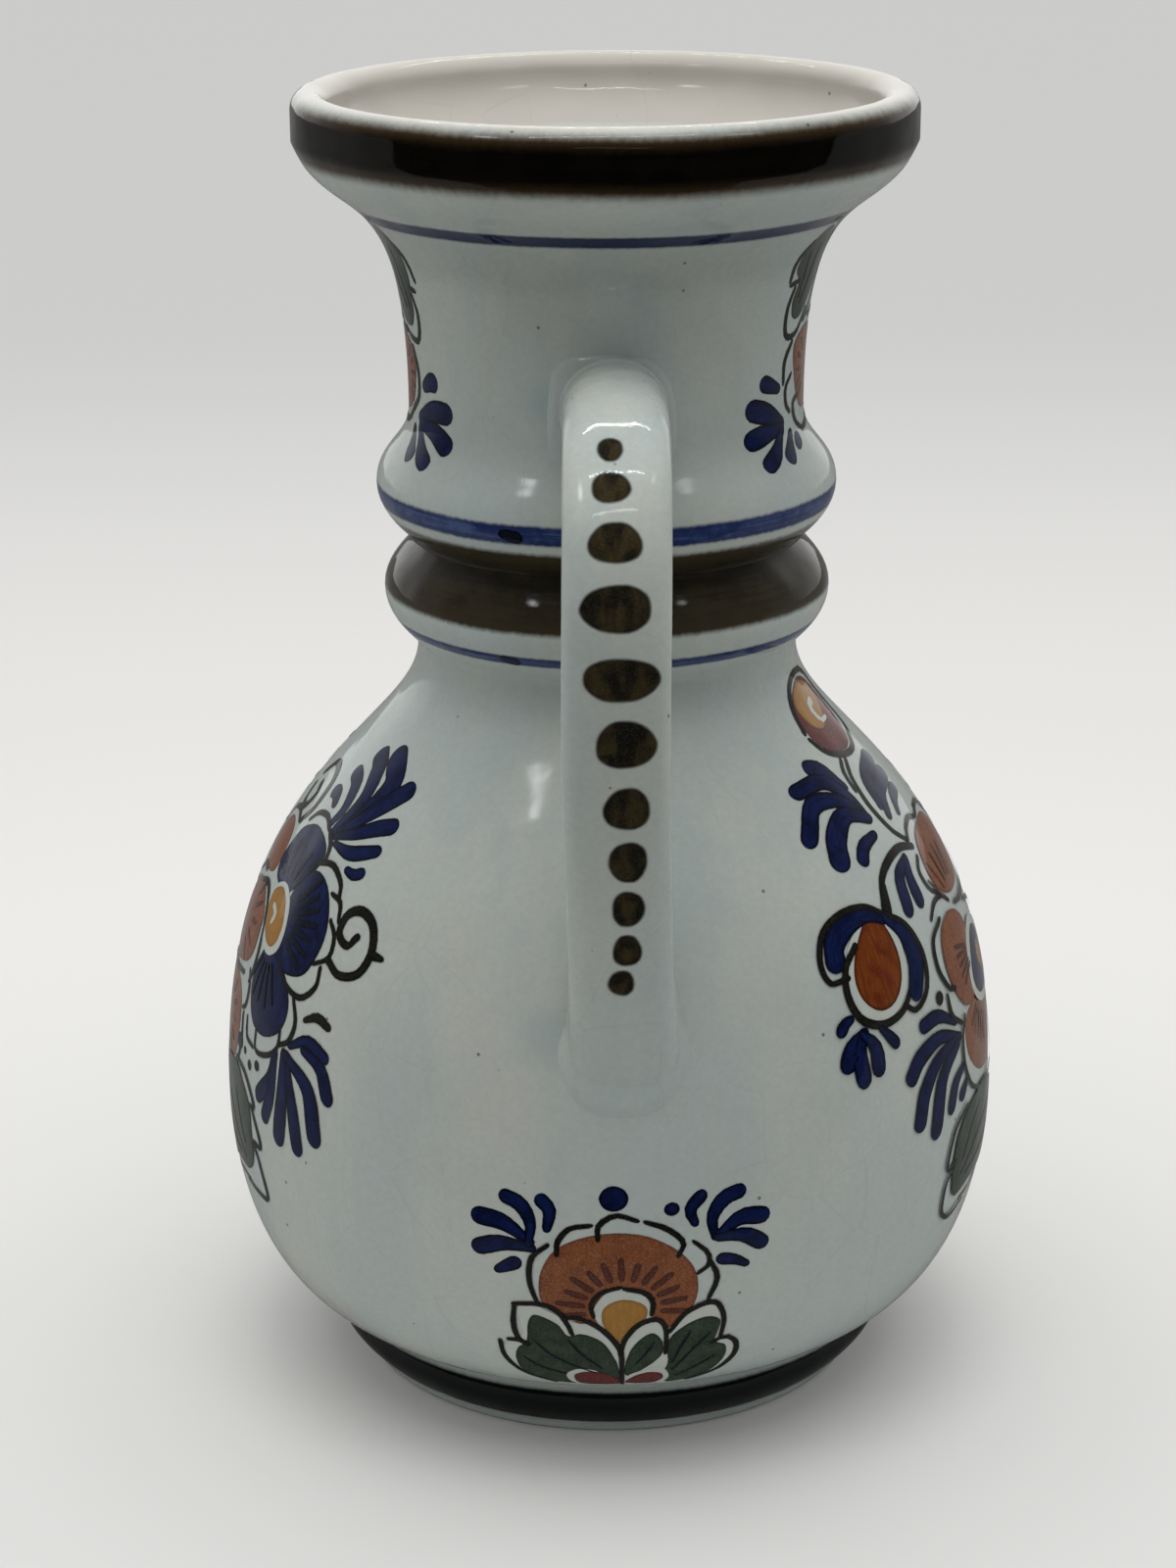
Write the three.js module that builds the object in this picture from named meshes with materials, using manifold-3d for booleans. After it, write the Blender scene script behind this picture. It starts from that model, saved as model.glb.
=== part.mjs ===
import * as THREE from 'three';
import { mergeVertices } from 'three/addons/utils/BufferGeometryUtils.js';
import Module from 'manifold-3d';

// A glazed earthenware pitcher: a round belly on a turned foot, a waist with two rolled
// rings, a tall neck that flares to a heavy rim, and one strap handle from neck to belly.
// Sizes are in millimetres. Heights run up +Z from the table, radii are measured from the
// axis of the jug, and the handle stands on the -Y side.

// Foot: a low rolled ring with a shallow hollow under it
const footHeight = 11.3;
const footTopRadius = 49.3;
const footTaper = 3.7; // the foot is this much narrower where it stands
const footLean = { out: 2.8, up: 2.8 }; // how its side leaves the edge it stands on
const footSwell = { out: 3.3, down: 3.7 }; // how its side comes to the top
const footEdgeRound = 1.4;
const footRingWidth = 6.6; // flat and edge of the ring that stands on the table
const baseRecess = 3.6;
const recessCove = 3.2;

// Belly: overhangs the foot by a small crease, swells out, and draws in to the waist
const creaseOverhang = 0.9;
const creaseRise = 0.4;
const bellyRadius = 68.75;
const bellyRise = 40.5; // from the crease to the widest ring
const undersideReach = 19.2; // how far the flat underside runs out before it turns up
const undersideLift = 7;
const bellyTurn = 5;
const shoulderRise = 79.8; // from the widest ring to the waist
const waistRadius = 33;

// Rings at the waist: a rolled ring, a sharp groove and a rolled collar
const ringRadius = 38.6;
const ringLowerRise = 10;
const ringUpperRise = 9.2;
const grooveRadius = 33.4;
const collarRadius = 39.6;
const collarLowerRise = 9.1;
const collarUpperRise = 13.7;

// Neck and rim
const overallHeight = 227;
const neckRadius = 33.7;
const flareRadius = 50.2; // where the flare meets the underside of the rim
const flareSlope = 0.887; // radians above the level
const flareRun = 10.7; // how far the flare keeps that slope
const neckStraight = 36;
const rimRadius = 52.5;
const rimHeight = 12.5;
const rimRound = 4.3; // height of the rounding under the rim
const lipThickness = 6.3;

// Inside: one smooth bore, a wide belly and a flat floor
const wallThickness = 4.8;
const floorThickness = 4.9;
const floorRadius = 30;
const floorCurve = 18; // how far the floor stays level before it turns up
const innerBellyTurn = 24;
const funnelHeight = 28; // from the lip's centre down to the foot of the funnel
const funnelTurn = 9;
const boreTurn = 14;

// How soon each swelling turns away from upright, as shares of its own height
const shoulderCurve = { leave: 0.69, arrive: 0.22 };
const ringLowerCurve = { leave: 0.2, arrive: 0.56 };
const ringUpperCurve = { leave: 0.51, arrive: 0.19 };
const collarLowerCurve = { leave: 0.02, arrive: 0.57 };
const collarUpperCurve = { leave: 0.44, arrive: 0.5 };

// Handle: a flattened strap with round edges
const handleWidth = 17;
const handleThickness = 9;
const handleEdgeRound = 4;
const rootHeight = 17; // the strap is this thick where it leaves the neck
const rootTaper = 20; // and draws in to its own thickness over this length
const fingerRoom = 31.4; // from the collar to the inner face of the handle
const rootRise = 22; // the strap's centre above the collar, where it leaves the neck
const rootLift = 4.7; // the strap rises by this much as it leaves the neck
const rootRun = 26.3; // and runs out level for this far
const turnHeight = 25.2; // height of the bend above the outermost place
const reachDrop = 12.5; // the outermost place below the collar
const fallLength = 23.8; // the strap falls straight for this far
const endRise = 19.8; // the strap's end above the widest ring of the belly
const landingRise = 26; // above the end, where the strap starts to settle on the belly
const landingStandoff = 7.8;
const endSink = 4.1; // the centre of the strap's end inside the wall
const rootSink = 3;

// Slip that joins the handle to the wall, and the gap left at each joint
const slipThickness = 1.6;
const slipFlange = 2.4; // how far the slip spreads past the strap
const tongueHeight = 30; // height of the slip under the lower end
const tongueDrop = 0.5; // its centre below where the strap starts to settle
const jointGap = 0.35;

// Fineness of the faceted surfaces
const roundSegments = 48;
const strapSteps = 36;
const cornerSegments = 3;
const swellSegments = 24;
const triangleCorners = 3;
const padSegments = 10;

// Heights and radii that follow from the sizes above
const footBaseRadius = footTopRadius - footTaper;
const creaseHeight = footHeight + creaseRise;
const bellyHeight = creaseHeight + bellyRise;
const waistHeight = bellyHeight + shoulderRise;
const ringHeight = waistHeight + ringLowerRise;
const grooveHeight = ringHeight + ringUpperRise;
const collarHeight = grooveHeight + collarLowerRise;
const neckHeight = collarHeight + collarUpperRise;
const rimUnderside = overallHeight - rimHeight;
const lipRadius = rimRadius - lipThickness / 2;
const lipCentreHeight = overallHeight - lipThickness / 2;
const handleReach = collarRadius + fingerRoom + handleThickness;
const rootCentreHeight = collarHeight + rootRise - (rootHeight - handleThickness) / 2;
const clearOfWall = slipThickness + 2 * jointGap;

const glaze = { color: 0xb4bfb9, roughness: 0.12, metalness: 0 };
const slipGlaze = { color: 0xa9bab8, roughness: 0.14, metalness: 0 };

const wasm = await Module();
wasm.setup();

// Adds a stretch of outline that is upright at both of its ends.
function swell(path, radius, height, curve) {
  const { x, y } = path.currentPoint;
  const rise = height - y;
  path.bezierCurveTo(x, y + curve.leave * rise, radius, height - curve.arrive * rise, radius, height);
}

// Adds the outside of the jug, from the table to the rounding of the rim. Allowance moves
// the whole surface outwards, for the places where the handle keeps clear of the wall.
function addOutside(path, allowance) {
  const foot = footBaseRadius + allowance;
  path.lineTo(foot - footEdgeRound, 0);
  path.quadraticCurveTo(foot, 0, foot, footEdgeRound);
  const footTop = footTopRadius + allowance;
  path.bezierCurveTo(
    foot + footLean.out, footEdgeRound + footLean.up,
    footTop + footSwell.out, footHeight - footSwell.down,
    footTop, footHeight,
  );

  const crease = footTopRadius + creaseOverhang + allowance;
  const belly = bellyRadius + allowance;
  path.lineTo(crease, creaseHeight);
  path.bezierCurveTo(
    crease + undersideReach, creaseHeight + undersideLift,
    belly, bellyHeight - bellyTurn,
    belly, bellyHeight,
  );
  swell(path, waistRadius + allowance, waistHeight, shoulderCurve);
  swell(path, ringRadius + allowance, ringHeight, ringLowerCurve);
  swell(path, grooveRadius + allowance, grooveHeight, ringUpperCurve);
  swell(path, collarRadius + allowance, collarHeight, collarLowerCurve);
  swell(path, neckRadius + allowance, neckHeight, collarUpperCurve);

  const flare = flareRadius + allowance;
  path.bezierCurveTo(
    neckRadius + allowance, neckHeight + neckStraight,
    flare - flareRun * Math.cos(flareSlope), rimUnderside - flareRun * Math.sin(flareSlope),
    flare, rimUnderside,
  );
  const rim = rimRadius + allowance;
  const cornerRise = (rim - flare) * Math.tan(flareSlope) / 2;
  path.quadraticCurveTo(rim - (rim - flare) / 2, rimUnderside + cornerRise, rim, rimUnderside + rimRound);
  path.lineTo(rim, lipCentreHeight);
}

// Adds the inside of the jug, from the lip down to the middle of the floor.
function addInside(path) {
  const bore = waistRadius - wallThickness;
  const mouth = lipRadius - lipThickness / 2;
  const funnelFoot = lipCentreHeight - funnelHeight;
  const innerBelly = bellyRadius - wallThickness;
  const floorHeight = baseRecess + floorThickness;
  path.bezierCurveTo(
    mouth, lipCentreHeight - funnelTurn,
    bore, funnelFoot + boreTurn,
    bore, funnelFoot,
  );
  path.lineTo(bore, waistHeight);
  swell(path, innerBelly, bellyHeight, { leave: shoulderCurve.arrive, arrive: shoulderCurve.leave });
  path.bezierCurveTo(
    innerBelly, bellyHeight - innerBellyTurn,
    floorRadius + floorCurve, floorHeight,
    floorRadius, floorHeight,
  );
  path.lineTo(0, floorHeight);
}

function outsideOutline(allowance) {
  const path = new THREE.Path();
  path.moveTo(0, 0);
  addOutside(path, allowance);
  path.lineTo(0, lipCentreHeight);
  return path;
}

function jugOutline() {
  const path = new THREE.Path();
  const ringInside = footBaseRadius - footRingWidth;
  path.moveTo(0, baseRecess);
  path.lineTo(ringInside - recessCove, baseRecess);
  path.quadraticCurveTo(ringInside, baseRecess, ringInside, 0);
  addOutside(path, 0);
  path.absarc(lipRadius, lipCentreHeight, lipThickness / 2, 0, Math.PI, false);
  addInside(path);
  return path;
}

// Turns an outline into points, with more steps on the longer stretches.
function outlinePoints(path) {
  const points = [path.getPoint(0)];
  for (const stretch of path.curves) {
    const straight = stretch.isLineCurve;
    const steps = straight ? 1 : Math.ceil(Math.sqrt(stretch.getLength()));
    for (let step = 1; step <= steps; step += 1) {
      points.push(stretch.getPoint(step / steps));
    }
  }
  return points;
}

// Turns an outline about the axis of the jug.
function turned(path, segments) {
  const geometry = new THREE.LatheGeometry(outlinePoints(path), segments);
  return geometry.rotateX(Math.PI / 2);
}

// Radius of the outside wall at a height, read between the points of the outline.
function wallRadius(height) {
  const points = outlinePoints(outsideOutline(0));
  const above = points.findIndex((point) => point.y >= height && point.x > 0);
  const [low, high] = [points[above - 1], points[above]];
  const share = (height - low.y) / (high.y - low.y);
  return low.x + share * (high.x - low.x);
}

function toSolid(geometry) {
  const bare = geometry.clone();
  bare.deleteAttribute('normal');
  bare.deleteAttribute('uv');
  const welded = mergeVertices(bare);
  const corners = welded.index.array;
  const kept = [];
  for (let at = 0; at < corners.length; at += triangleCorners) {
    const [a, b, c] = corners.slice(at, at + triangleCorners);
    if (a !== b && b !== c && c !== a) kept.push(a, b, c);
  }
  return new wasm.Manifold(new wasm.Mesh({
    numProp: 3,
    vertProperties: new Float32Array(welded.attributes.position.array),
    triVerts: new Uint32Array(kept),
  }));
}

function toGeometry(solid) {
  const mesh = solid.getMesh();
  const geometry = new THREE.BufferGeometry();
  geometry.setAttribute('position', new THREE.BufferAttribute(mesh.vertProperties, 3));
  geometry.setIndex(new THREE.BufferAttribute(mesh.triVerts, 1));
  geometry.computeVertexNormals();
  return geometry;
}

// The jug filled solid, with its outside moved out by an allowance.
function filledJug(allowance) {
  return toSolid(turned(outsideOutline(allowance), roundSegments));
}

// A rectangle with round corners, centred on zero: the cut through the strap, or through
// the slip that spreads around it.
function roundedSection(width, height, round) {
  const [x, y] = [width / 2 - round, height / 2 - round];
  const shape = new THREE.Shape();
  shape.absarc(x, y, round, 0, Math.PI / 2, false);
  shape.absarc(-x, y, round, Math.PI / 2, Math.PI, false);
  shape.absarc(-x, -y, round, Math.PI, 1.5 * Math.PI, false);
  shape.absarc(x, -y, round, 1.5 * Math.PI, 2 * Math.PI, false);
  return shape;
}

// Centre line of the strap, as a radius from the jug's axis and a height.
function strapCurve() {
  const at = (radius, height) => new THREE.Vector3(0, -radius, height);
  const leaveHeight = collarHeight + rootRise;
  const neckWall = wallRadius(leaveHeight);
  const centreReach = handleReach - handleThickness / 2;
  const reachHeight = collarHeight - reachDrop;
  const endHeight = bellyHeight + endRise;
  const landingHeight = endHeight + landingRise;
  const curve = new THREE.CurvePath();
  curve.add(new THREE.CubicBezierCurve3(
    at(neckWall - rootSink, leaveHeight),
    at(neckWall + rootRun, leaveHeight + rootLift),
    at(centreReach, reachHeight + turnHeight),
    at(centreReach, reachHeight),
  ));
  curve.add(new THREE.CubicBezierCurve3(
    at(centreReach, reachHeight),
    at(centreReach, reachHeight - fallLength),
    at(wallRadius(landingHeight) + landingStandoff, landingHeight),
    at(wallRadius(endHeight) - endSink, endHeight),
  ));
  return curve;
}

// The strap is thick at the neck: a swelling under it that runs out along its underside.
function makeRootSwelling() {
  const ball = new THREE.SphereGeometry(1, swellSegments, swellSegments / 2);
  ball.scale(handleWidth / 2, rootTaper, rootHeight / 2);
  ball.translate(0, -wallRadius(rootCentreHeight), rootCentreHeight);
  return toSolid(ball);
}

function makeHandle() {
  const strap = new THREE.ExtrudeGeometry(
    roundedSection(handleWidth, handleThickness, handleEdgeRound),
    { steps: strapSteps, curveSegments: cornerSegments, extrudePath: strapCurve() },
  );
  return toGeometry(toSolid(strap).add(makeRootSwelling()).subtract(filledJug(clearOfWall)));
}

// A pad of slip that follows the wall: thick enough to fill the joint, and a little larger
// than the strap that sits on it.
function makeSlip(centreHeight, height) {
  const width = handleWidth + 2 * slipFlange;
  const shape = roundedSection(width, height, Math.min(width, height) / 2 - jointGap);
  const plug = new THREE.ExtrudeGeometry(
    shape,
    { depth: handleReach, curveSegments: padSegments, bevelEnabled: false },
  );
  plug.rotateX(Math.PI / 2);
  plug.translate(0, 0, centreHeight);
  const pad = toSolid(plug)
    .intersect(filledJug(jointGap + slipThickness))
    .subtract(filledJug(jointGap));
  return toGeometry(pad);
}

function addPart(group, name, geometry, finish) {
  const mesh = new THREE.Mesh(geometry, new THREE.MeshStandardMaterial(finish));
  mesh.name = name;
  group.add(mesh);
}

const pitcher = new THREE.Group();
const lowerSlipHeight = bellyHeight + endRise + landingRise / 2 - tongueDrop;
addPart(pitcher, 'body', turned(jugOutline(), roundSegments), glaze);
addPart(pitcher, 'handle', makeHandle(), glaze);
addPart(pitcher, 'upper_luting_slip', makeSlip(rootCentreHeight, rootHeight + 2 * slipFlange), slipGlaze);
addPart(pitcher, 'lower_luting_slip', makeSlip(lowerSlipHeight, tongueHeight), slipGlaze);

// The origin lies under the middle of the whole piece, handle included.
pitcher.position.y = (handleReach - bellyRadius) / 2;
const assembly = new THREE.Group();
assembly.add(pitcher);

export default assembly;
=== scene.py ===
"""A painted earthenware pitcher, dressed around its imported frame.

The jug is a body of revolution with one strap handle. Its glaze is a pale grey-blue, the
rings are painted round it on the wheel, and flower sprays are brushed on in strokes.
Everything is in metres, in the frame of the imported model.
"""

import logging
import math
from collections.abc import Sequence
from dataclasses import dataclass, field, replace
from enum import Enum
from functools import partial

import bmesh
import bpy
from mathutils import Matrix, Vector
from mathutils.geometry import interpolate_bezier


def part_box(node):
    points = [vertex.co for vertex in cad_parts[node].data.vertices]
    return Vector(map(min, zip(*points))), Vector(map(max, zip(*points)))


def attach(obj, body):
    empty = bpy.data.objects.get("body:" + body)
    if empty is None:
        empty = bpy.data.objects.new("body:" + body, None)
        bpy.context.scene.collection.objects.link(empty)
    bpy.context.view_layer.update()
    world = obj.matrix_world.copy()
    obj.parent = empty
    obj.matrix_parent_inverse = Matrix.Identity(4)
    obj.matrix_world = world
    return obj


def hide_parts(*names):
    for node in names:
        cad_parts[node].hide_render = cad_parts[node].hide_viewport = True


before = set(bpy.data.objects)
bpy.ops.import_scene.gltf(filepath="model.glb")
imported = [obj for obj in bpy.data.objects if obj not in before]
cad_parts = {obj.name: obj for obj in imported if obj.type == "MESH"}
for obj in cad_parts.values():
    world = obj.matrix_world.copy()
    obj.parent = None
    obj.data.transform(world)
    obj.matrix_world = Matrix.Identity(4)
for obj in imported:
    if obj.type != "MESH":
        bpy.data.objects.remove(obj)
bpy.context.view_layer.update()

MM = 0.001
LOG = logging.getLogger("pitcher")
Colour = tuple[float, float, float]
Place = tuple[float, float, float]
Point = tuple[float, float]
Socket = bpy.types.NodeSocket
Material = bpy.types.Material
Shape = bmesh.types.BMesh
Corner = bmesh.types.BMVert
Piece = bpy.types.Object
# Azimuth of the jug's front in degrees; the handle's side is 0.
FRONT = 180
# The wall's radius at the dots of the belly, in millimetres.
DOT_WALL_RADIUS = 64.0


# Where the axis of the jug stands along Y.
AXIS_Y = sum(corner[1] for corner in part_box("body")) / 2


@dataclass(frozen=True)
class Swell:
    """A stretch of outline that is upright at both of its ends, in millimetres."""

    radius: float
    rise: float
    leave: float
    arrive: float
    steps: int


@dataclass(frozen=True)
class JugOutline:
    """The outline of the jug in millimetres: radii from its axis, heights from the table."""

    foot_top_radius: float = 49.3
    foot_taper: float = 3.7
    foot_height: float = 11.3
    foot_lean: Point = (2.8, 2.8)
    foot_swell: Point = (3.3, 3.7)
    foot_edge_round: float = 1.4
    foot_ring_width: float = 6.6
    base_recess: float = 3.6
    recess_cove: float = 3.2
    crease_overhang: float = 0.9
    crease_rise: float = 0.4
    belly_radius: float = 68.75
    belly_rise: float = 40.5
    underside_reach: float = 19.2
    underside_lift: float = 7.0
    belly_turn: float = 5.0
    flare_radius: float = 50.2
    flare_slope: float = 0.887
    flare_run: float = 10.7
    overall_height: float = 227.0
    neck_straight: float = 36.0
    rim_radius: float = 52.5
    rim_height: float = 12.5
    rim_round: float = 4.3
    lip_thickness: float = 6.3
    wall: float = 4.8
    floor_thickness: float = 4.9
    floor_radius: float = 30.0
    floor_curve: float = 18.0
    inner_belly_turn: float = 24.0
    funnel_height: float = 28.0
    funnel_turn: float = 9.0
    bore_turn: float = 14.0
    shoulder: Swell = Swell(33.0, 79.8, 0.69, 0.22, 62)
    rings: tuple[Swell, ...] = (
        Swell(38.6, 10.0, 0.20, 0.56, 12),
        Swell(33.4, 9.2, 0.51, 0.19, 12),
        Swell(39.6, 9.1, 0.02, 0.57, 12),
        Swell(33.7, 13.7, 0.44, 0.50, 14),
    )

    @property
    def crease_height(self) -> float:
        """Height of the crease between foot and belly."""
        return self.foot_height + self.crease_rise

    @property
    def belly_height(self) -> float:
        """Height of the widest ring of the belly."""
        return self.crease_height + self.belly_rise

    @property
    def waist_height(self) -> float:
        """Height of the waist under the lower ring."""
        return self.belly_height + self.shoulder.rise

    @property
    def collar_height(self) -> float:
        """Height of the widest line of the collar."""
        return self.waist_height + sum(ring.rise for ring in self.rings[:3])

    @property
    def rim_underside(self) -> float:
        """Height where the flare meets the rim."""
        return self.overall_height - self.rim_height

    @property
    def lip_centre(self) -> Point:
        """Radius and height of the centre of the round lip."""
        half = self.lip_thickness / 2
        return self.rim_radius - half, self.overall_height - half

    def outside(self) -> list[Point]:
        """Gives the outside from the table to the start of the lip.

        Returns:
            Points of radius and height, in millimetres, from the bottom up.
        """
        base = self.foot_top_radius - self.foot_taper
        edge = self.foot_edge_round
        points = curve((base - edge, 0), (base - edge / 3, 0), (base, edge / 3), (base, edge), 5)
        top = (self.foot_top_radius, self.foot_height)
        leave = (base + self.foot_lean[0], edge + self.foot_lean[1])
        arrive = (top[0] + self.foot_swell[0], top[1] - self.foot_swell[1])
        points += curve(points[-1], leave, arrive, top, 18)
        crease = (self.foot_top_radius + self.crease_overhang, self.crease_height)
        points += line(points[-1], crease, 2)
        belly = (self.belly_radius, self.belly_height)
        points += curve(
            crease,
            (crease[0] + self.underside_reach, crease[1] + self.underside_lift),
            (belly[0], belly[1] - self.belly_turn),
            belly,
            48,
        )
        for swell in (self.shoulder, *self.rings):
            points += upright_curve(points[-1], swell)
        flare = (self.flare_radius, self.rim_underside)
        run = self.flare_run
        points += curve(
            points[-1],
            (points[-1][0], points[-1][1] + self.neck_straight),
            (flare[0] - run * math.cos(self.flare_slope), flare[1] - run * math.sin(self.flare_slope)),
            flare,
            34,
        )
        half = (self.rim_radius - flare[0]) / 2
        corner = (flare[0] + half, flare[1] + half * math.tan(self.flare_slope))
        rim_foot = (self.rim_radius, flare[1] + self.rim_round)
        points += curve(flare, between(flare, corner), between(rim_foot, corner), rim_foot, 8)
        points += line(rim_foot, (self.rim_radius, self.lip_centre[1]), 6)
        return tidy(points)

    def lip(self) -> list[Point]:
        """Gives the half round of the lip, from the outside to the inside.

        Returns:
            Points of radius and height.
        """
        radius, height = self.lip_centre
        half = self.lip_thickness / 2
        turns = [math.pi * step / 16 for step in range(17)]
        return [(radius + half * math.cos(turn), height + half * math.sin(turn)) for turn in turns]

    def inside(self) -> list[Point]:
        """Gives the inside, from the lip down to the middle of the floor.

        Returns:
            Points of radius and height.
        """
        bore = self.shoulder.radius - self.wall
        mouth = (self.rim_radius - self.lip_thickness, self.lip_centre[1])
        funnel_foot = (bore, mouth[1] - self.funnel_height)
        points = curve(
            mouth,
            (mouth[0], mouth[1] - self.funnel_turn),
            (bore, funnel_foot[1] + self.bore_turn),
            funnel_foot,
            26,
        )
        points += line(funnel_foot, (bore, self.waist_height), 12)
        inner = self.belly_radius - self.wall
        fall = Swell(inner, -self.shoulder.rise, self.shoulder.arrive, self.shoulder.leave, 34)
        points += upright_curve(points[-1], fall)
        floor_height = self.base_recess + self.floor_thickness
        points += curve(
            points[-1],
            (inner, self.belly_height - self.inner_belly_turn),
            (self.floor_radius + self.floor_curve, floor_height),
            (self.floor_radius, floor_height),
            26,
        )
        points += line(points[-1], (0, floor_height), 8)
        return tidy(points)

    def underside(self) -> list[Point]:
        """Gives the hollow under the foot, from its middle out to the standing ring.

        Returns:
            Points of radius and height.
        """
        ring = self.foot_top_radius - self.foot_taper - self.foot_ring_width
        cove = (ring - self.recess_cove, self.base_recess)
        points = line((0, self.base_recess), cove, 8)
        points += curve(cove, (ring - 1, self.base_recess), (ring, self.base_recess / 3), (ring, 0), 6)
        return tidy(points)


def line(start: Point, end: Point, steps: int) -> list[Point]:
    """Gives even points along a straight line."""
    return [between(start, end, step / steps) for step in range(steps + 1)]


def between(start: Point, end: Point, share: float = 0.5) -> Point:
    """Gives the point at a share of the way between two others."""
    return start[0] + (end[0] - start[0]) * share, start[1] + (end[1] - start[1]) * share


def curve(start: Point, leave: Point, arrive: Point, end: Point, steps: int) -> list[Point]:
    """Gives points along a cubic curve from its ends and its two handles."""
    corners = [Vector((x, y, 0)) for x, y in (start, leave, arrive, end)]
    return [(point.x, point.y) for point in interpolate_bezier(*corners, steps + 1)]


def upright_curve(start: Point, swell: Swell) -> list[Point]:
    """Gives a swelling or hollow that is upright where it leaves and where it arrives.

    Args:
        start: where it begins.
        swell: its size, and how upright its ends are.

    Returns:
        Points along it.
    """
    end = (swell.radius, start[1] + swell.rise)
    leave = (start[0], start[1] + swell.leave * swell.rise)
    arrive = (end[0], end[1] - swell.arrive * swell.rise)
    return curve(start, leave, arrive, end, swell.steps)


def tidy(points: list[Point]) -> list[Point]:
    """Drops each point that repeats the one before it.

    Args:
        points: what may repeat.

    Returns:
        The points that are left.
    """
    kept = points[:1]
    for point in points[1:]:
        if math.dist(point, kept[-1]) > 1e-6:
            kept.append(point)
    return kept


OUTLINE = JugOutline()


class Meridian:
    """The outside of the jug as a line that can be asked for a place at any arc length."""

    def __init__(self, points: list[Point]) -> None:
        """Measures the line.

        Args:
            points: radius and height in millimetres, from the table up.
        """
        self.points = points
        self.arcs = [0.0]
        for low, high in zip(points, points[1:]):
            self.arcs.append(self.arcs[-1] + math.dist(low, high))

    def _span(self, keys: list[float], value: float) -> tuple[int, float]:
        """Finds the stretch that holds a value, and the share of the way along it.

        Args:
            keys: rising values, one at each point.
            value: what is looked for.

        Returns:
            The stretch's number and the share.
        """
        low, high = 0, len(keys) - 1
        while high - low > 1:
            middle = (low + high) // 2
            if keys[middle] <= value:
                low = middle
            else:
                high = middle
        return low, (value - keys[low]) / (keys[high] - keys[low])

    def _smooth_normal(self, index: int, share: float) -> Point:
        """Gives the outward normal, turned evenly from one stretch to the next.

        Args:
            index: the stretch's number.
            share: how far along it.

        Returns:
            The normal, outwards and upwards.
        """
        def slope(at: int) -> Point:
            """Gives the run and the rise of a stretch."""
            at = min(max(at, 1), len(self.points) - 1)
            low, high = self.points[at - 1], self.points[at]
            return high[0] - low[0], high[1] - low[1]

        near = slope(index + 1)
        other = slope(index if share < 0.5 else index + 2)
        weight = abs(share - 0.5)
        run = near[0] / math.hypot(*near) * (1 - weight) + other[0] / math.hypot(*other) * weight
        rise = near[1] / math.hypot(*near) * (1 - weight) + other[1] / math.hypot(*other) * weight
        size = math.hypot(run, rise)
        return rise / size, -run / size

    def at_arc(self, arc: float) -> tuple[Point, Point]:
        """Gives the place and the outward normal at an arc length from the foot's edge.

        Args:
            arc: the length in millimetres.

        Returns:
            Radius and height, and the normal.
        """
        index, share = self._span(self.arcs, arc)
        place = between(self.points[index], self.points[index + 1], share)
        return place, self._smooth_normal(index, share)

    def arc_at(self, height: float) -> float:
        """Gives the arc length up to a height."""
        index, share = self._span([point[1] for point in self.points], height)
        return self.arcs[index] + share * (self.arcs[index + 1] - self.arcs[index])

    def at_height(self, height: float) -> tuple[Point, Point]:
        """Gives the place and the outward normal at a height.

        Args:
            height: millimetres above the table.

        Returns:
            Radius and height, and the normal.
        """
        index, share = self._span([point[1] for point in self.points], height)
        place = between(self.points[index], self.points[index + 1], share)
        return place, self._smooth_normal(index, share)


WALL = Meridian(OUTLINE.outside())


def to_frame(radius: float, azimuth: float, height: float) -> Vector:
    """Turns a place round the jug into the frame.

    Args:
        radius: distance from the jug's axis in millimetres.
        azimuth: angle in radians from the handle's side, growing towards +X.
        height: height above the table in millimetres.

    Returns:
        The place in metres.
    """
    x = radius * MM * math.sin(azimuth)
    y = AXIS_Y - radius * MM * math.cos(azimuth)
    return Vector((x, y, height * MM))


def wall_clearance(place: Vector) -> float:
    """Gives the distance in millimetres from the outside of the wall, negative inside it.

    Args:
        place: a place in metres.

    Returns:
        The distance.
    """
    radius = math.hypot(place.x, place.y - AXIS_Y) / MM
    (wall, _), normal = WALL.at_height(place.z / MM)
    return (radius - wall) * normal[0]


def wall_facing(place: Vector) -> Vector:
    """Gives the way that the wall beside a place faces.

    Args:
        place: a place near the outside of the wall, in metres.

    Returns:
        A unit vector, square to the wall.
    """
    out = Vector((place.x, place.y - AXIS_Y, 0)).normalized()
    across, up = WALL.at_height(place.z / MM)[1]
    return out * across + Vector((0, 0, up))


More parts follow.
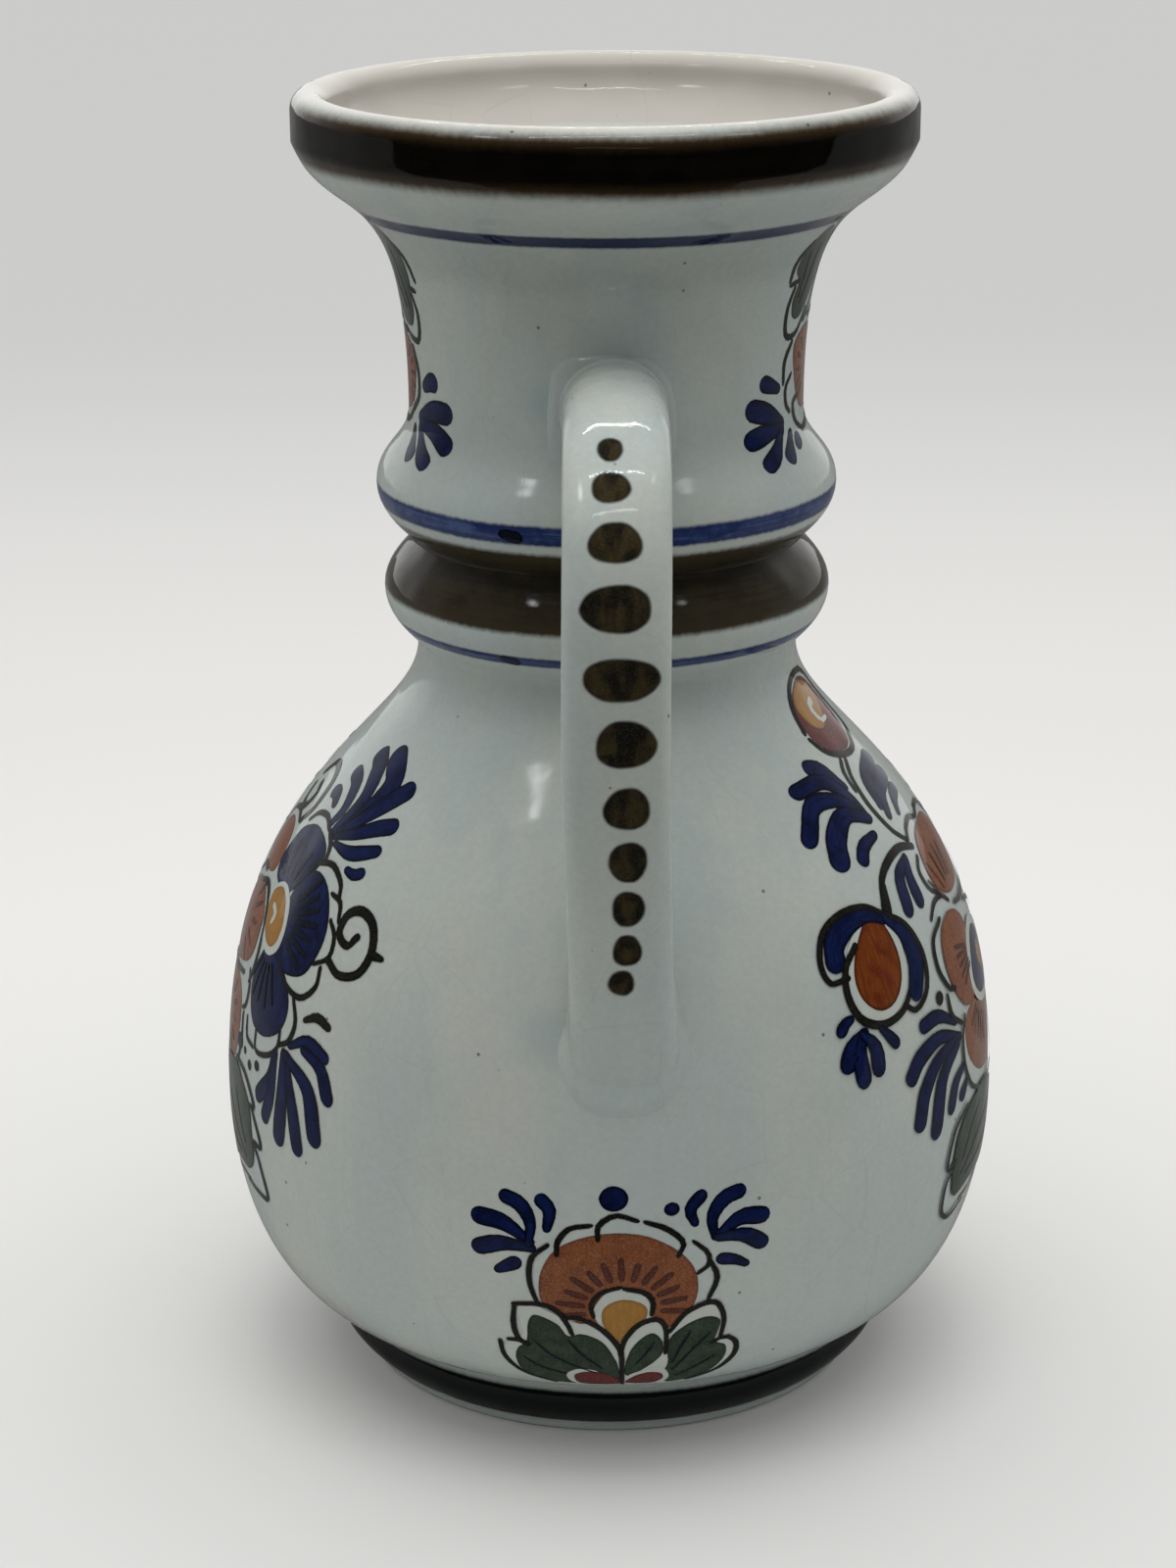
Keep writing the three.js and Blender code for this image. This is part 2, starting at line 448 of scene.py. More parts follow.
class Wiring:
    """Adds nodes to one tree and joins them, so that a finish reads as a recipe."""

    def __init__(self, tree: bpy.types.NodeTree) -> None:
        """Starts on a tree."""
        self.tree = tree

    def add(self, kind: str, **values: object) -> bpy.types.Node:
        """Adds a node.

        Args:
            kind: the node's type, without its ShaderNode prefix.
            values: settings of the node, or its inputs by name with _ for a blank.

        Returns:
            The new node.
        """
        node = self.tree.nodes.new("ShaderNode" + kind)
        for name, value in values.items():
            if hasattr(node, name):
                setattr(node, name, value)
                continue
            self.feed(node.inputs[name.replace("_", " ")], value)
        return node

    def feed(self, socket: Socket, value: object) -> None:
        """Joins a socket to another, or sets it to a value.

        Args:
            socket: what is fed.
            value: a socket, a number or a colour.
        """
        if isinstance(value, Socket):
            self.tree.links.new(value, socket)
        elif isinstance(value, tuple) and len(value) == 3 and socket.type == "RGBA":
            socket.default_value = (*value, 1.0)
        else:
            socket.default_value = value

    def math(self, operation: str, *terms: object) -> Socket:
        """Works out a value.

        Args:
            operation: what is done, by Blender's name.
            terms: one to three values or sockets.

        Returns:
            The result's socket.
        """
        node = self.add("Math", operation=operation)
        for socket, term in zip(node.inputs, terms):
            self.feed(socket, term)
        return node.outputs[0]

    def blend(self, share: object, low: object, high: object, kind: str = "MIX") -> Socket:
        """Mixes two colours.

        Args:
            share: how much of the second shows.
            low: the first colour.
            high: the second.
            kind: how they mix, by Blender's name.

        Returns:
            The mixed colour's socket.
        """
        node = self.add("Mix", data_type="RGBA", blend_type=kind)
        for index, value in ((0, share), (6, low), (7, high)):
            self.feed(node.inputs[index], value)
        return node.outputs[2]

    def step(self, value: object, low: object, high: object, start: float = 0, end: float = 1) -> Socket:
        """Rises or falls smoothly while a value goes from low to high.

        Args:
            value: what is read.
            low: where the change begins.
            high: where it is done.
            start: the result before it.
            end: the result after it.

        Returns:
            The result's socket.
        """
        node = self.add("MapRange", interpolation_type="SMOOTHSTEP", clamp=True)
        names = ("Value", "From Min", "From Max", "To Min", "To Max")
        for name, term in zip(names, (value, low, high, start, end)):
            self.feed(node.inputs[name], term)
        return node.outputs["Result"]

    def noise(self, place: object, scale: float, detail: float = 2, roughness: float = 0.5) -> Socket:
        """Gives soft noise around 0.5."""
        node = self.add("TexNoise", Vector=place, Scale=scale, Detail=detail, Roughness=roughness)
        return node.outputs[0]

    def stretch(self, place: object, scale: Place, shift: Place = (0, 0, 0)) -> Socket:
        """Scales and shifts a place, so that what reads it is drawn out."""
        return self.add("Mapping", Vector=place, Scale=scale, Location=shift).outputs[0]

    def axes(self, place: object) -> tuple[Socket, ...]:
        """Splits a place into X, Y and Z."""
        return tuple(self.add("SeparateXYZ", Vector=place).outputs)


class Finish(Wiring):
    """A new material, with its shader and the place on the piece that its nodes read."""

    def __init__(self, name: str) -> None:
        """Makes the material under a name.

        Args:
            name: what the material is called.
        """
        self.material = bpy.data.materials.new(name)
        self.material.use_nodes = True
        super().__init__(self.material.node_tree)
        self.shader = self.material.node_tree.nodes["Principled BSDF"]
        self.place = self.add("TexCoord").outputs["Object"]

    def set(self, **values: object) -> None:
        """Feeds the shader's inputs, by name with _ for a blank."""
        for name, value in values.items():
            self.feed(self.shader.inputs[name.replace("_", " ")], value)


class Effect:
    """A node group that several finishes share."""

    def __init__(self, name: str, takes: dict[str, tuple[str, object]], gives: dict[str, str]) -> None:
        """Makes an empty group.

        Args:
            name: what the group is called.
            takes: each input's socket type and first value.
            gives: each output's socket type.
        """
        self.tree = bpy.data.node_groups.new(name, "ShaderNodeTree")
        for title, (kind, value) in takes.items():
            socket = self.tree.interface.new_socket(title, in_out="INPUT", socket_type="NodeSocket" + kind)
            if value is not None:
                socket.default_value = value
        for title, kind in gives.items():
            self.tree.interface.new_socket(title, in_out="OUTPUT", socket_type="NodeSocket" + kind)
        self.wires = Wiring(self.tree)
        self.entry = self.tree.nodes.new("NodeGroupInput").outputs
        self.exit = self.tree.nodes.new("NodeGroupOutput").inputs

    def place(self, wires: Wiring, **values: object) -> bpy.types.Node:
        """Puts the group into a finish with its own values.

        Args:
            wires: the finish.
            values: the group's inputs by name, with _ for a blank.

        Returns:
            The group's node.
        """
        node = wires.tree.nodes.new("ShaderNodeGroup")
        node.node_tree = self.tree
        for name, value in values.items():
            wires.feed(node.inputs[name.replace("_", " ")], value)
        return node


def glaze_coat() -> Effect:
    """Makes the pale glaze that every piece wears.

    Returns:
        The group. Place is an object coordinate, Pool is where glaze has gathered and Inner
        is where it is warmer and darker, on the lip and inside the jug; the darkening is painted shade.
    """
    effect = Effect(
        "tin_glaze",
        {"Place": ("Vector", None), "Pool": ("Float", 0.0), "Inner": ("Float", 0.0)},
        {"Colour": "Color", "Roughness": "Float", "Height": "Float"},
    )
    wires = effect.wires
    place = effect.entry["Place"]
    drift = wires.noise(place, 14, 3)
    runs = wires.noise(wires.stretch(place, (60, 60, 9)), 1, 3, 0.6)
    grain = wires.noise(place, 900, 3, 0.6)
    tone = wires.blend(wires.step(drift, 0.35, 0.65), (0.472, 0.496, 0.458), (0.419, 0.461, 0.437))
    tone = wires.blend(wires.step(runs, 0.40, 0.66, 0, 0.8), tone, (0.400, 0.458, 0.449))
    tone = wires.blend(wires.step(grain, 0.3, 0.7, 0, 0.16), tone, (0.27, 0.29, 0.27))
    # Inside the jug the glaze is warmer, and darker with painted shade.
    tone = wires.blend(effect.entry["Inner"], tone, (0.40, 0.38, 0.345))
    pooled = wires.math("MULTIPLY", effect.entry["Pool"], wires.step(drift, 0.2, 0.7, 0.7, 1))
    tone = wires.blend(pooled, tone, (0.25, 0.355, 0.37))

    squat = wires.stretch(place, (1, 1, 0.8))
    crackle = wires.add("TexVoronoi", Vector=squat, Scale=70, feature="DISTANCE_TO_EDGE")
    width = wires.step(wires.noise(place, 40, 1), 0.42, 0.62, 0.0, 0.012)
    crack = wires.step(crackle.outputs["Distance"], 0.0, width, 1, 0)
    tone = wires.blend(wires.math("MULTIPLY", crack, 0.12), tone, (0.22, 0.235, 0.22))

    cells = wires.add("TexVoronoi", Vector=place, Scale=260, feature="F1")
    chosen = wires.math("GREATER_THAN", wires.noise(cells.outputs["Position"], 3100, 0), 0.66)
    dot = wires.step(cells.outputs["Distance"], 0.05, 0.11, 1, 0)
    speck = wires.math("MULTIPLY", chosen, dot)
    tone = wires.blend(wires.math("MULTIPLY", speck, 0.75), tone, (0.05, 0.045, 0.04))
    wires.feed(effect.exit["Colour"], tone)
    wires.feed(effect.exit["Roughness"], wires.step(grain, 0.2, 0.8, 0.05, 0.09))

    waves = wires.noise(place, 55, 2, 0.4)
    ripple = wires.noise(place, 420, 2, 0.5)
    height = wires.math("MULTIPLY_ADD", waves, 0.9, wires.math("MULTIPLY", ripple, 0.02))
    height = wires.math("SUBTRACT", height, wires.math("MULTIPLY", crack, 0.004))
    wires.feed(effect.exit["Height"], height)
    return effect


def ring_brush() -> Effect:
    """Makes the mask of a ring that is painted while the jug turns on the wheel.

    Returns:
        The group. Mask is 1 in the ring, and Depth is how far inside its edges a place lies.
    """
    effect = Effect(
        "wheel_ring",
        {
            "Place": ("Vector", None), "Low": ("Float", 0.0), "High": ("Float", 0.0),
            "Soft": ("Float", 0.0005), "Wobble": ("Float", 0.0002), "Inner": ("Float", 0.03),
        },
        {"Mask": "Float", "Depth": "Float"},
    )
    wires = effect.wires
    place = effect.entry["Place"]
    side, back, up = wires.axes(place)
    sway = wires.noise(wires.stretch(place, (1, 1, 0.2)), 30, 2)
    ragged = wires.noise(wires.stretch(place, (1, 1, 0.5)), 900, 3, 0.65)
    jitter = wires.math("SUBTRACT", wires.math("MULTIPLY_ADD", ragged, 0.5, sway), 0.75)
    shift = wires.math("MULTIPLY", jitter, effect.entry["Wobble"])
    height = wires.math("ADD", up, shift)
    above = wires.math("SUBTRACT", height, effect.entry["Low"])
    below = wires.math("SUBTRACT", effect.entry["High"], height)
    depth = wires.math("MINIMUM", above, below)
    soft = effect.entry["Soft"]
    mask = wires.step(depth, wires.math("MULTIPLY", soft, -0.5), soft)
    off_axis = wires.math("SUBTRACT", back, AXIS_Y)
    squares = wires.math("MULTIPLY_ADD", off_axis, off_axis, wires.math("POWER", side, 2.0))
    outer = wires.math("GREATER_THAN", wires.math("SQRT", squares), effect.entry["Inner"])
    wires.feed(effect.exit["Mask"], wires.math("MULTIPLY", mask, outer))
    wires.feed(effect.exit["Depth"], depth)
    return effect


@dataclass(frozen=True)
class WheelRing:
    """One painted ring, with its place in millimetres and its two tones.

    It lies between two heights, and only where the wall is further out than a radius.
    """

    low: float
    high: float
    inner: float
    soft: float
    wobble: float
    edge: Colour
    core: Colour
    fade: float
    mottle: float = 0.3


@dataclass(frozen=True)
class PaintedShadeBand:
    """A stretch of height, in millimetres, that is darkened with painted shade by multiplying with a tint."""

    low: float
    high: float
    soft: float
    tint: Colour


@dataclass(frozen=True)
class Glaze:
    """The glaze of a piece, with its bands of painted shade and any rings that are painted under it."""

    name: str
    rings: tuple[WheelRing, ...] = ()
    painted_shades: tuple[PaintedShadeBand, ...] = ()
    index: float = 1.42
    ripple: float = 0.0012
    pooled: float = 0.0

    def material(
        self, coat: Effect, brush: Effect, pools: tuple[tuple[Vector, float], ...] = (),
    ) -> Material:
        """Builds the finish.

        Args:
            coat: the shared glaze.
            brush: the shared ring mask.
            pools: centres and reaches, in metres, of places where glaze gathers.

        Returns:
            The material.
        """
        wires = Finish(self.name)
        pool = self.pooled
        for centre, reach in pools:
            gap = wires.add("VectorMath", operation="DISTANCE", Vector=wires.place)
            gap.inputs[1].default_value = centre
            near = wires.step(gap.outputs["Value"], reach * 0.1, reach, 0.55, 0)
            pool = wires.math("MAXIMUM", near, pool)
        inner = wires.add("Attribute", attribute_name="inner").outputs["Fac"]
        glaze = coat.place(wires, Place=wires.place, Pool=pool, Inner=inner)
        colour = glaze.outputs["Colour"]
        height = wires.axes(wires.place)[2]
        # Bands of painted shade: each multiplies the colour by its tint between two heights.
        for shade_band in self.painted_shades:
            above = wires.math("SUBTRACT", height, shade_band.low * MM)
            below = wires.math("SUBTRACT", shade_band.high * MM, height)
            inside = wires.math("MINIMUM", above, below)
            colour = wires.blend(wires.step(inside, 0.0, shade_band.soft * MM), colour, shade_band.tint, "MULTIPLY")
        outer = wires.step(inner, 0.6, 0.9, 1, 0)
        for ring in self.rings:
            colour = self._painted(wires, brush, outer, colour, ring)
        self.gloss(wires, colour, glaze)
        return wires.material

    def _painted(
        self, wires: Finish, brush: Effect, outer: Socket, colour: Socket, ring: WheelRing,
    ) -> Socket:
        """Lays one ring over a colour.

        Args:
            wires: the finish that it goes into.
            brush: the shared ring mask.
            outer: 1 on the outer wall, where rings are painted, and 0 inside.
            colour: the colour beneath.
            ring: what is painted.

        Returns:
            The colour with the ring on it.
        """
        mask = brush.place(
            wires, Place=wires.place, Low=ring.low * MM, High=ring.high * MM, Soft=ring.soft * MM,
            Wobble=ring.wobble * MM, Inner=ring.inner * MM,
        )
        streaks = wires.noise(wires.stretch(wires.place, (40, 40, 1400)), 1, 3, 0.7)
        cloud = wires.noise(wires.place, 230, 3, 0.65)
        deep = wires.step(mask.outputs["Depth"], 0.0, ring.fade * MM)
        full = wires.step(wires.math("ADD", streaks, cloud), 0.85, 1.15, 1, 1 - ring.mottle)
        tone = wires.blend(wires.math("MULTIPLY", deep, full), ring.edge, ring.core)
        return wires.blend(wires.math("MULTIPLY", mask.outputs["Mask"], outer), colour, tone)

    def gloss(self, wires: Finish, colour: Socket, coat: bpy.types.Node) -> None:
        """Sets the glossy shader that every glazed piece shares.

        Args:
            wires: the finish.
            colour: its colour.
            coat: the shared glaze as placed in it.
        """
        bump = wires.add("Bump", Height=coat.outputs["Height"], Strength=1.0, Distance=self.ripple)
        roughness = coat.outputs["Roughness"]
        wires.set(IOR=self.index, Base_Color=colour, Roughness=roughness, Normal=bump.outputs[0])


def as_object(name: str, shape: Shape, *finishes: Material) -> Piece:
    """Turns a finished mesh into an object of the scene.

    Args:
        name: the object's name.
        shape: its mesh in metres; it is freed.
        finishes: its finishes, in the order that its faces number them.

    Returns:
        The new object.
    """
    mesh = bpy.data.meshes.new(name)
    shape.to_mesh(mesh)
    shape.free()
    for finish in finishes:
        mesh.materials.append(finish)
    made = bpy.data.objects.new(name, mesh)
    bpy.context.scene.collection.objects.link(made)
    return made


def as_piece(
    name: str, shape: Shape, slot: str, *finishes: Material,
) -> Piece:
    """Turns a finished mesh into a smooth piece that rides on the jug.

    Args:
        name: the piece's name.
        shape: its mesh in metres; it is freed.
        slot: not used.
        finishes: its finishes, in the order that its faces number them.

    Returns:
        The new object.
    """
    for face in shape.faces:
        face.smooth = True
    piece = as_object(name, shape, *finishes)
    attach(piece, "root")
    LOG.info("%s: %d faces", name, len(piece.data.polygons))
    return piece


def face_outwards(shape: Shape) -> None:
    """Merges a mesh's doubles and turns its faces away from the jug, on the handle's side.

    Args:
        shape: a mesh whose furthest face towards -Y is on its outside.
    """
    bmesh.ops.remove_doubles(shape, verts=shape.verts, dist=1e-7)
    bmesh.ops.recalc_face_normals(shape, faces=shape.faces)
    outermost = min(shape.faces, key=lambda face: face.calc_center_median().y)
    if outermost.normal.y > 0:
        bmesh.ops.reverse_faces(shape, faces=shape.faces)


@dataclass
class JugBody:
    """The turned body of the jug, from the foot ring to the inside floor."""

    outline: JugOutline = OUTLINE
    turns: int = 240

    def build(self) -> Shape:
        """Spins the outline about the axis of the jug.

        Returns:
            A closed mesh with its faces outwards.
        """
        outline = self.outline
        points = tidy(outline.underside() + outline.outside() + outline.lip() + outline.inside())
        shape = bmesh.new()
        corners = [shape.verts.new(to_frame(radius, 0, height)) for radius, height in points]
        edges = [shape.edges.new(pair) for pair in zip(corners, corners[1:])]
        bmesh.ops.spin(
            shape,
            geom=corners + edges,
            cent=(0, AXIS_Y, 0),
            axis=(0, 0, 1),
            angle=math.tau,
            steps=self.turns,
            use_merge=True,
        )
        bmesh.ops.remove_doubles(shape, verts=shape.verts, dist=1e-7)
        bmesh.ops.recalc_face_normals(shape, faces=shape.faces)
        inner = shape.verts.layers.float.new("inner")
        for corner in shape.verts:
            if corner.co.z / MM > outline.floor_thickness:
                corner[inner] = smooth(-wall_clearance(corner.co) / (outline.lip_thickness / 2))
        return shape

    def dress(self, finish: Material) -> Piece:
        """Makes the piece and sets it in place of the solid body.

        Args:
            finish: the glaze with its rings.

        Returns:
            The piece.
        """
        piece = as_piece("glazed_body", self.build(), "glazed_wall", finish)
        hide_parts("body")
        return piece


@dataclass
class StrapHandle:
    """The strap handle with the soft roots that run out on the neck and the belly.

    Sizes are in millimetres and follow the solid handle: radii from the jug's axis.
    """

    width: float = 17.0
    thickness: float = 9.0
    squareness: float = 2.7
    root_squareness: float = 2.05
    root_swelling: float = 4.0
    root_share: float = 0.24
    foot_flare: float = 1.2
    foot_thinning: float = 0.5
    foot_share: float = 0.22
    finger_room: float = 31.4
    root_rise: float = 22.0
    root_lift: float = 4.7
    root_run: float = 26.3
    root_sink: float = 5.0
    turn_height: float = 25.2
    reach_drop: float = 12.5
    fall_length: float = 23.8
    landing: Point = (64.0, 91.0)
    landing_bend: Point = (65.2, 104.0)
    end: Point = (56.5, 64.0)
    upper_blend: Point = (1.5, 1.6)
    lower_blend: Point = (1.2, 1.1)
    buried: float = 0.15
    along: int = 130
    around: int = 72
    skirt_rows: int = 12
    lean: tuple[float, ...] = (0.3, -0.8, 0.9)
    spine: list[tuple[Vector, Vector]] = field(default_factory=list)

    def __post_init__(self) -> None:
        """Lays the centre line."""
        self.spine = self.frames()

    def centre_line(self) -> list[Vector]:
        """Gives the middle of the strap from neck to belly, in metres.

        Returns:
            Places from the neck to the belly.
        """
        rings = OUTLINE.rings
        reach = rings[2].radius + self.finger_room + self.thickness / 2
        root = OUTLINE.collar_height + self.root_rise
        neck = WALL.at_height(root)[0][0]
        bend = OUTLINE.collar_height - self.reach_drop
        upper = curve(
            (neck - self.root_sink, root),
            (neck + self.root_run, root + self.root_lift),
            (reach, bend + self.turn_height),
            (reach, bend),
            self.along // 2,
        )
        lower = curve((reach, bend), (reach, bend - self.fall_length), self.landing_bend, self.landing, 48)
        ease = (self.landing[0] - 0.6, self.landing[1] - 12)
        foot = curve(self.landing, ease, (self.end[0] + 7.2, self.end[1] + 8), self.end, 24)
        spaced = even(tidy(upper + lower + foot), self.along)
        return [to_frame(radius, 0, height) for radius, height in spaced]

    def nearness(self, share: float) -> Point:
        """Gives how near a share of the length is to the upper and to the lower root."""
        return 1 - smooth(share / self.root_share), smooth((share - 1 + self.foot_share) / self.foot_share)

    def half_width(self, share: float) -> float:
        """Gives half the strap's width at a share of its length."""
        return self.width / 2 + self.foot_flare * self.nearness(share)[1]

    def corner_power(self, share: float) -> float:
        """Gives how square the strap's edges are at a share of its length."""
        return self.squareness + (self.root_squareness - self.squareness) * max(self.nearness(share))

    def section(self, share: float, turn: float) -> Point:
        """Gives the strap's cut at an angle: sideways, and outwards from the jug.

        Args:
            share: how far along the strap.
            turn: the angle round it.

        Returns:
            Millimetres sideways and outwards.
        """
        power = 2 / self.corner_power(share)
        side, out = math.cos(turn), math.sin(turn)
        near_root, near_foot = self.nearness(share)
        depth = self.root_swelling * near_root - self.foot_thinning * near_foot
        across = math.copysign(abs(side) ** power, side) * self.half_width(share)
        outward = math.copysign(abs(out) ** power, out) * (self.thickness / 2 + depth) - depth
        return across, outward

    def sway(self, share: float) -> float:
        """Gives how far the strap leans sideways, in millimetres, at a share of its length.

        Args:
            share: how far along the strap.

        Returns:
            Millimetres towards +X.
        """
        top, middle, foot = self.lean
        if share < 0.5:
            return top + (middle - top) * smooth(share * 2)
        return middle + (foot - middle) * smooth(share * 2 - 1)

    def frames(self) -> list[tuple[Vector, Vector]]:
        """Gives each place on the centre line with the direction outwards from the jug.

        Returns:
            Places and directions.
        """
        line_points = self.centre_line()
        placed = []
        for index, point in enumerate(line_points):
            before = line_points[max(index - 1, 0)]
            after = line_points[min(index + 1, len(line_points) - 1)]
            onward = (after - before).normalized()
            outward = onward.cross(Vector((1, 0, 0))).normalized()
            placed.append((point, outward))
        return placed

    def _spine_at(self, share: float) -> tuple[Vector, Vector]:
        """Gives the centre line and the direction outwards at a share of its length.

        Args:
            share: how far along the strap.

        Returns:
            The place and the direction.
        """
        at = share * (len(self.spine) - 1)
        low = min(int(at), len(self.spine) - 2)
        (centre, outward), (next_centre, next_outward) = self.spine[low : low + 2]
        return centre.lerp(next_centre, at - low), outward.lerp(next_outward, at - low).normalized()

    def skin(self, share_along: float, share_round: float) -> Vector:
        """Gives a place on the strap's skin, from shares of its length and of its girth.

        Args:
            share_along: how far along the strap.
            share_round: how far round it.

        Returns:
            The place in metres.
        """
        centre, outward = self._spine_at(share_along)
        across, out = self.section(share_along, math.tau * share_round)
        return centre + Vector(((across + self.sway(share_along)) * MM, 0, 0)) + outward * (out * MM)

    def facing(self, share_along: float, share_round: float) -> Vector:
        """Gives the way that the strap's skin faces.

        Args:
            share_along: how far along the strap.
            share_round: how far round it.

        Returns:
            A unit vector.
        """
        outward = self._spine_at(share_along)[1]
        ahead = self.section(share_along, math.tau * share_round + 0.02)
        behind = self.section(share_along, math.tau * share_round - 0.02)
        return (Vector((ahead[1] - behind[1], 0, 0)) - outward * (ahead[0] - behind[0])).normalized()

    def _crossing(self, turn: float, clear: float, upper: bool) -> float:
        """Finds the share of the strap's length where its skin comes this close to the wall.

        Args:
            turn: the share of the way round the strap.
            clear: how close, in millimetres.
            upper: whether this is at the neck.

        Returns:
            The share.
        """
        steps = self.along * 2
        order = range(steps // 2, -1, -1) if upper else range(steps // 2, steps + 1)
        before = 0.5
        for step in order:
            share = step / steps
            if wall_clearance(self.skin(share, turn)) < clear:
                low, high = share, before
                for _ in range(16):
                    middle = (low + high) / 2
                    if wall_clearance(self.skin(middle, turn)) < clear:
                        low = middle
                    else:
                        high = middle
                return high
            before = share
        return before

    def _skirt(self, turn: float, upper: bool) -> tuple[float, tuple[Vector, ...]]:
        """Gives where the soft root starts on one line of the skin, and the curve it follows.

        Args:
            turn: the share of the way round the strap.
            upper: whether this is the root on the neck.

        Returns:
            The share of the strap's length, and the four corners of a cubic curve.
        """
        face, flank = self.upper_blend if upper else self.lower_blend
        outward = max(math.sin(math.tau * turn), 0.0)
        reach = flank + (face - flank) * outward**2
        leave = self._crossing(turn, reach, upper)
        foot = self.skin(self._crossing(turn, 0.0, upper), turn)
        start = self.skin(leave, turn)
        facing = self.facing(leave, turn)
        square = wall_facing(foot)
        slide = (facing - square * facing.dot(square)).normalized()
        end = foot + slide * (reach * 1.05 * MM)
        end -= square * ((wall_clearance(end) + self.buried) * MM)
        return leave, (start, start.lerp(foot, 0.62), end.lerp(foot, 0.55), end)

    def _settle_normals(self, mesh: bpy.types.Mesh) -> None:
        """Turns the normals at the rim of each root into those of the wall beneath.

        Args:
            mesh: the finished strap.
        """
        facings = []
        for corner in mesh.vertices:
            facing = corner.normal.copy()
            near = abs(wall_clearance(corner.co))
            if near < 0.5:
                share = 1 - smooth(near / 0.5)
                facing = facing.lerp(wall_facing(corner.co), share).normalized()
            facings.append(facing)
        mesh.normals_split_custom_set_from_vertices(facings)

    def build(self) -> Shape:
        """Wraps a grid around the centre line and runs its two ends out on the wall.

        Returns:
            A mesh that is open only where its roots lie in the wall.
        """
        skirts = {}
        for column in range(self.around):
            turn = column / self.around
            skirts[column] = self._skirt(turn, True), self._skirt(turn, False)
        shape = bmesh.new()
        rows = self.along + 2 * self.skirt_rows
        bmesh.ops.create_grid(shape, x_segments=rows, y_segments=self.around, size=0.5)
        for corner in shape.verts:
            row = round((corner.co.x + 0.5) * rows)
            column = round((corner.co.y + 0.5) * self.around) % self.around
            (first, upper), (last, lower) = skirts[column]
            if row < self.skirt_rows:
                corner.co = on_cubic(upper, 1 - row / self.skirt_rows)
            elif row > rows - self.skirt_rows:
                corner.co = on_cubic(lower, 1 - (rows - row) / self.skirt_rows)
            else:
                share = first + (last - first) * (row - self.skirt_rows) / self.along
                corner.co = self.skin(share, column / self.around)
        face_outwards(shape)
        return shape

    def dress(self, finish: Material) -> Piece:
        """Makes the piece and sets it in place of the solid handle.

        Args:
            finish: the glaze.

        Returns:
            The piece.
        """
        piece = as_piece("glazed_handle", self.build(), "glazed_strap", finish)
        self._settle_normals(piece.data)
        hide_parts("handle")
        return piece


@dataclass
class SmearedJoint:
    """The slip that was smeared round one root of the strap, low on the wall.

    Its rim is in degrees round the jug and millimetres up its wall, the rest in millimetres.
    """

    name: str
    node: str
    rim: tuple[Point, ...]
    height: float = 0.6
    edge: float = 2.2
    buried: float = 0.05
    around: int = 120
    rows: int = 20

    def build(self) -> Shape:
        """Lays a low mound on the wall, inside the rim.

        Returns:
            An open mesh whose rim lies just under the wall.
        """
        canvas = WallCanvas()
        points, radius = canvas.flat(self.rim)
        centre = sum(points, Vector()) / len(points)
        shape = bmesh.new()
        bmesh.ops.create_grid(shape, x_segments=self.around, y_segments=self.rows, size=0.5)
        for corner in shape.verts:
            ray = through(points, corner.co.x + 0.5, True) - centre
            inward = (corner.co.y + 0.5) ** 1.4
            rise = self.height * smooth(ray.length * inward / self.edge) - self.buried
            corner.co = canvas.lift(centre + ray * (1 - inward), radius, rise).place
        face_outwards(shape)
        return shape

    def dress(self, finish: Material) -> Piece:
        """Makes the piece and sets it in place of its solid.

        Args:
            finish: the glaze.

        Returns:
            The piece.
        """
        piece = as_piece(self.name, self.build(), "glazed_strap", finish)
        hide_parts(self.node)
        return piece


JOINTS = (
    SmearedJoint(
        "glazed_upper_joint", "upper_luting_slip",
        (
            (-18.2, 205.5), (-16.9, 210.2), (-12.8, 212.7), (-6.4, 213.4), (0.0, 213.6), (4.1, 213.3),
            (11.0, 212.3), (16.4, 208.6), (18.4, 204.0), (18.6, 199.0), (17.0, 195.5), (8.0, 193.5),
            (-8.0, 193.5), (-17.0, 195.5), (-18.6, 200.0),
        ),
        0.45, 1.4,
    ),
    SmearedJoint(
        "glazed_lower_joint", "lower_luting_slip",
        (
            (-7.7, 99.3), (-8.1, 93.7), (-9.2, 87.8), (-8.5, 83.3), (-6.6, 79.3), (-3.4, 76.9), (0.5, 76.3),
            (4.8, 77.1), (7.8, 79.5), (9.8, 83.2), (10.6, 87.7), (9.6, 92.5), (8.5, 99.0), (4.0, 101.0),
            (-3.5, 101.0),
        ),
        0.8, 2.6,
    ),
)


def on_cubic(corners: tuple[Vector, ...], share: float) -> Vector:
    """Gives a place on a cubic curve from its four corners.

    Args:
        corners: its four corners.
        share: how far along it.

    Returns:
        The place.
    """
    left = 1 - share
    weights = (left**3, 3 * left * left * share, 3 * left * share * share, share**3)
    return sum((corner * weight for corner, weight in zip(corners, weights)), Vector())


def smooth(share: float) -> float:
    """Eases a share in and out."""
    share = min(max(share, 0.0), 1.0)
    return share * share * (3 - 2 * share)


def even(points: list[Point], steps: int) -> list[Point]:
    """Spaces points evenly along a line.

    Args:
        points: the line.
        steps: how many stretches it gets.

    Returns:
        The evenly spaced points.
    """
    measured = Meridian(points)
    total = measured.arcs[-1]
    return [measured.at_arc(total * step / steps)[0] for step in range(steps + 1)]


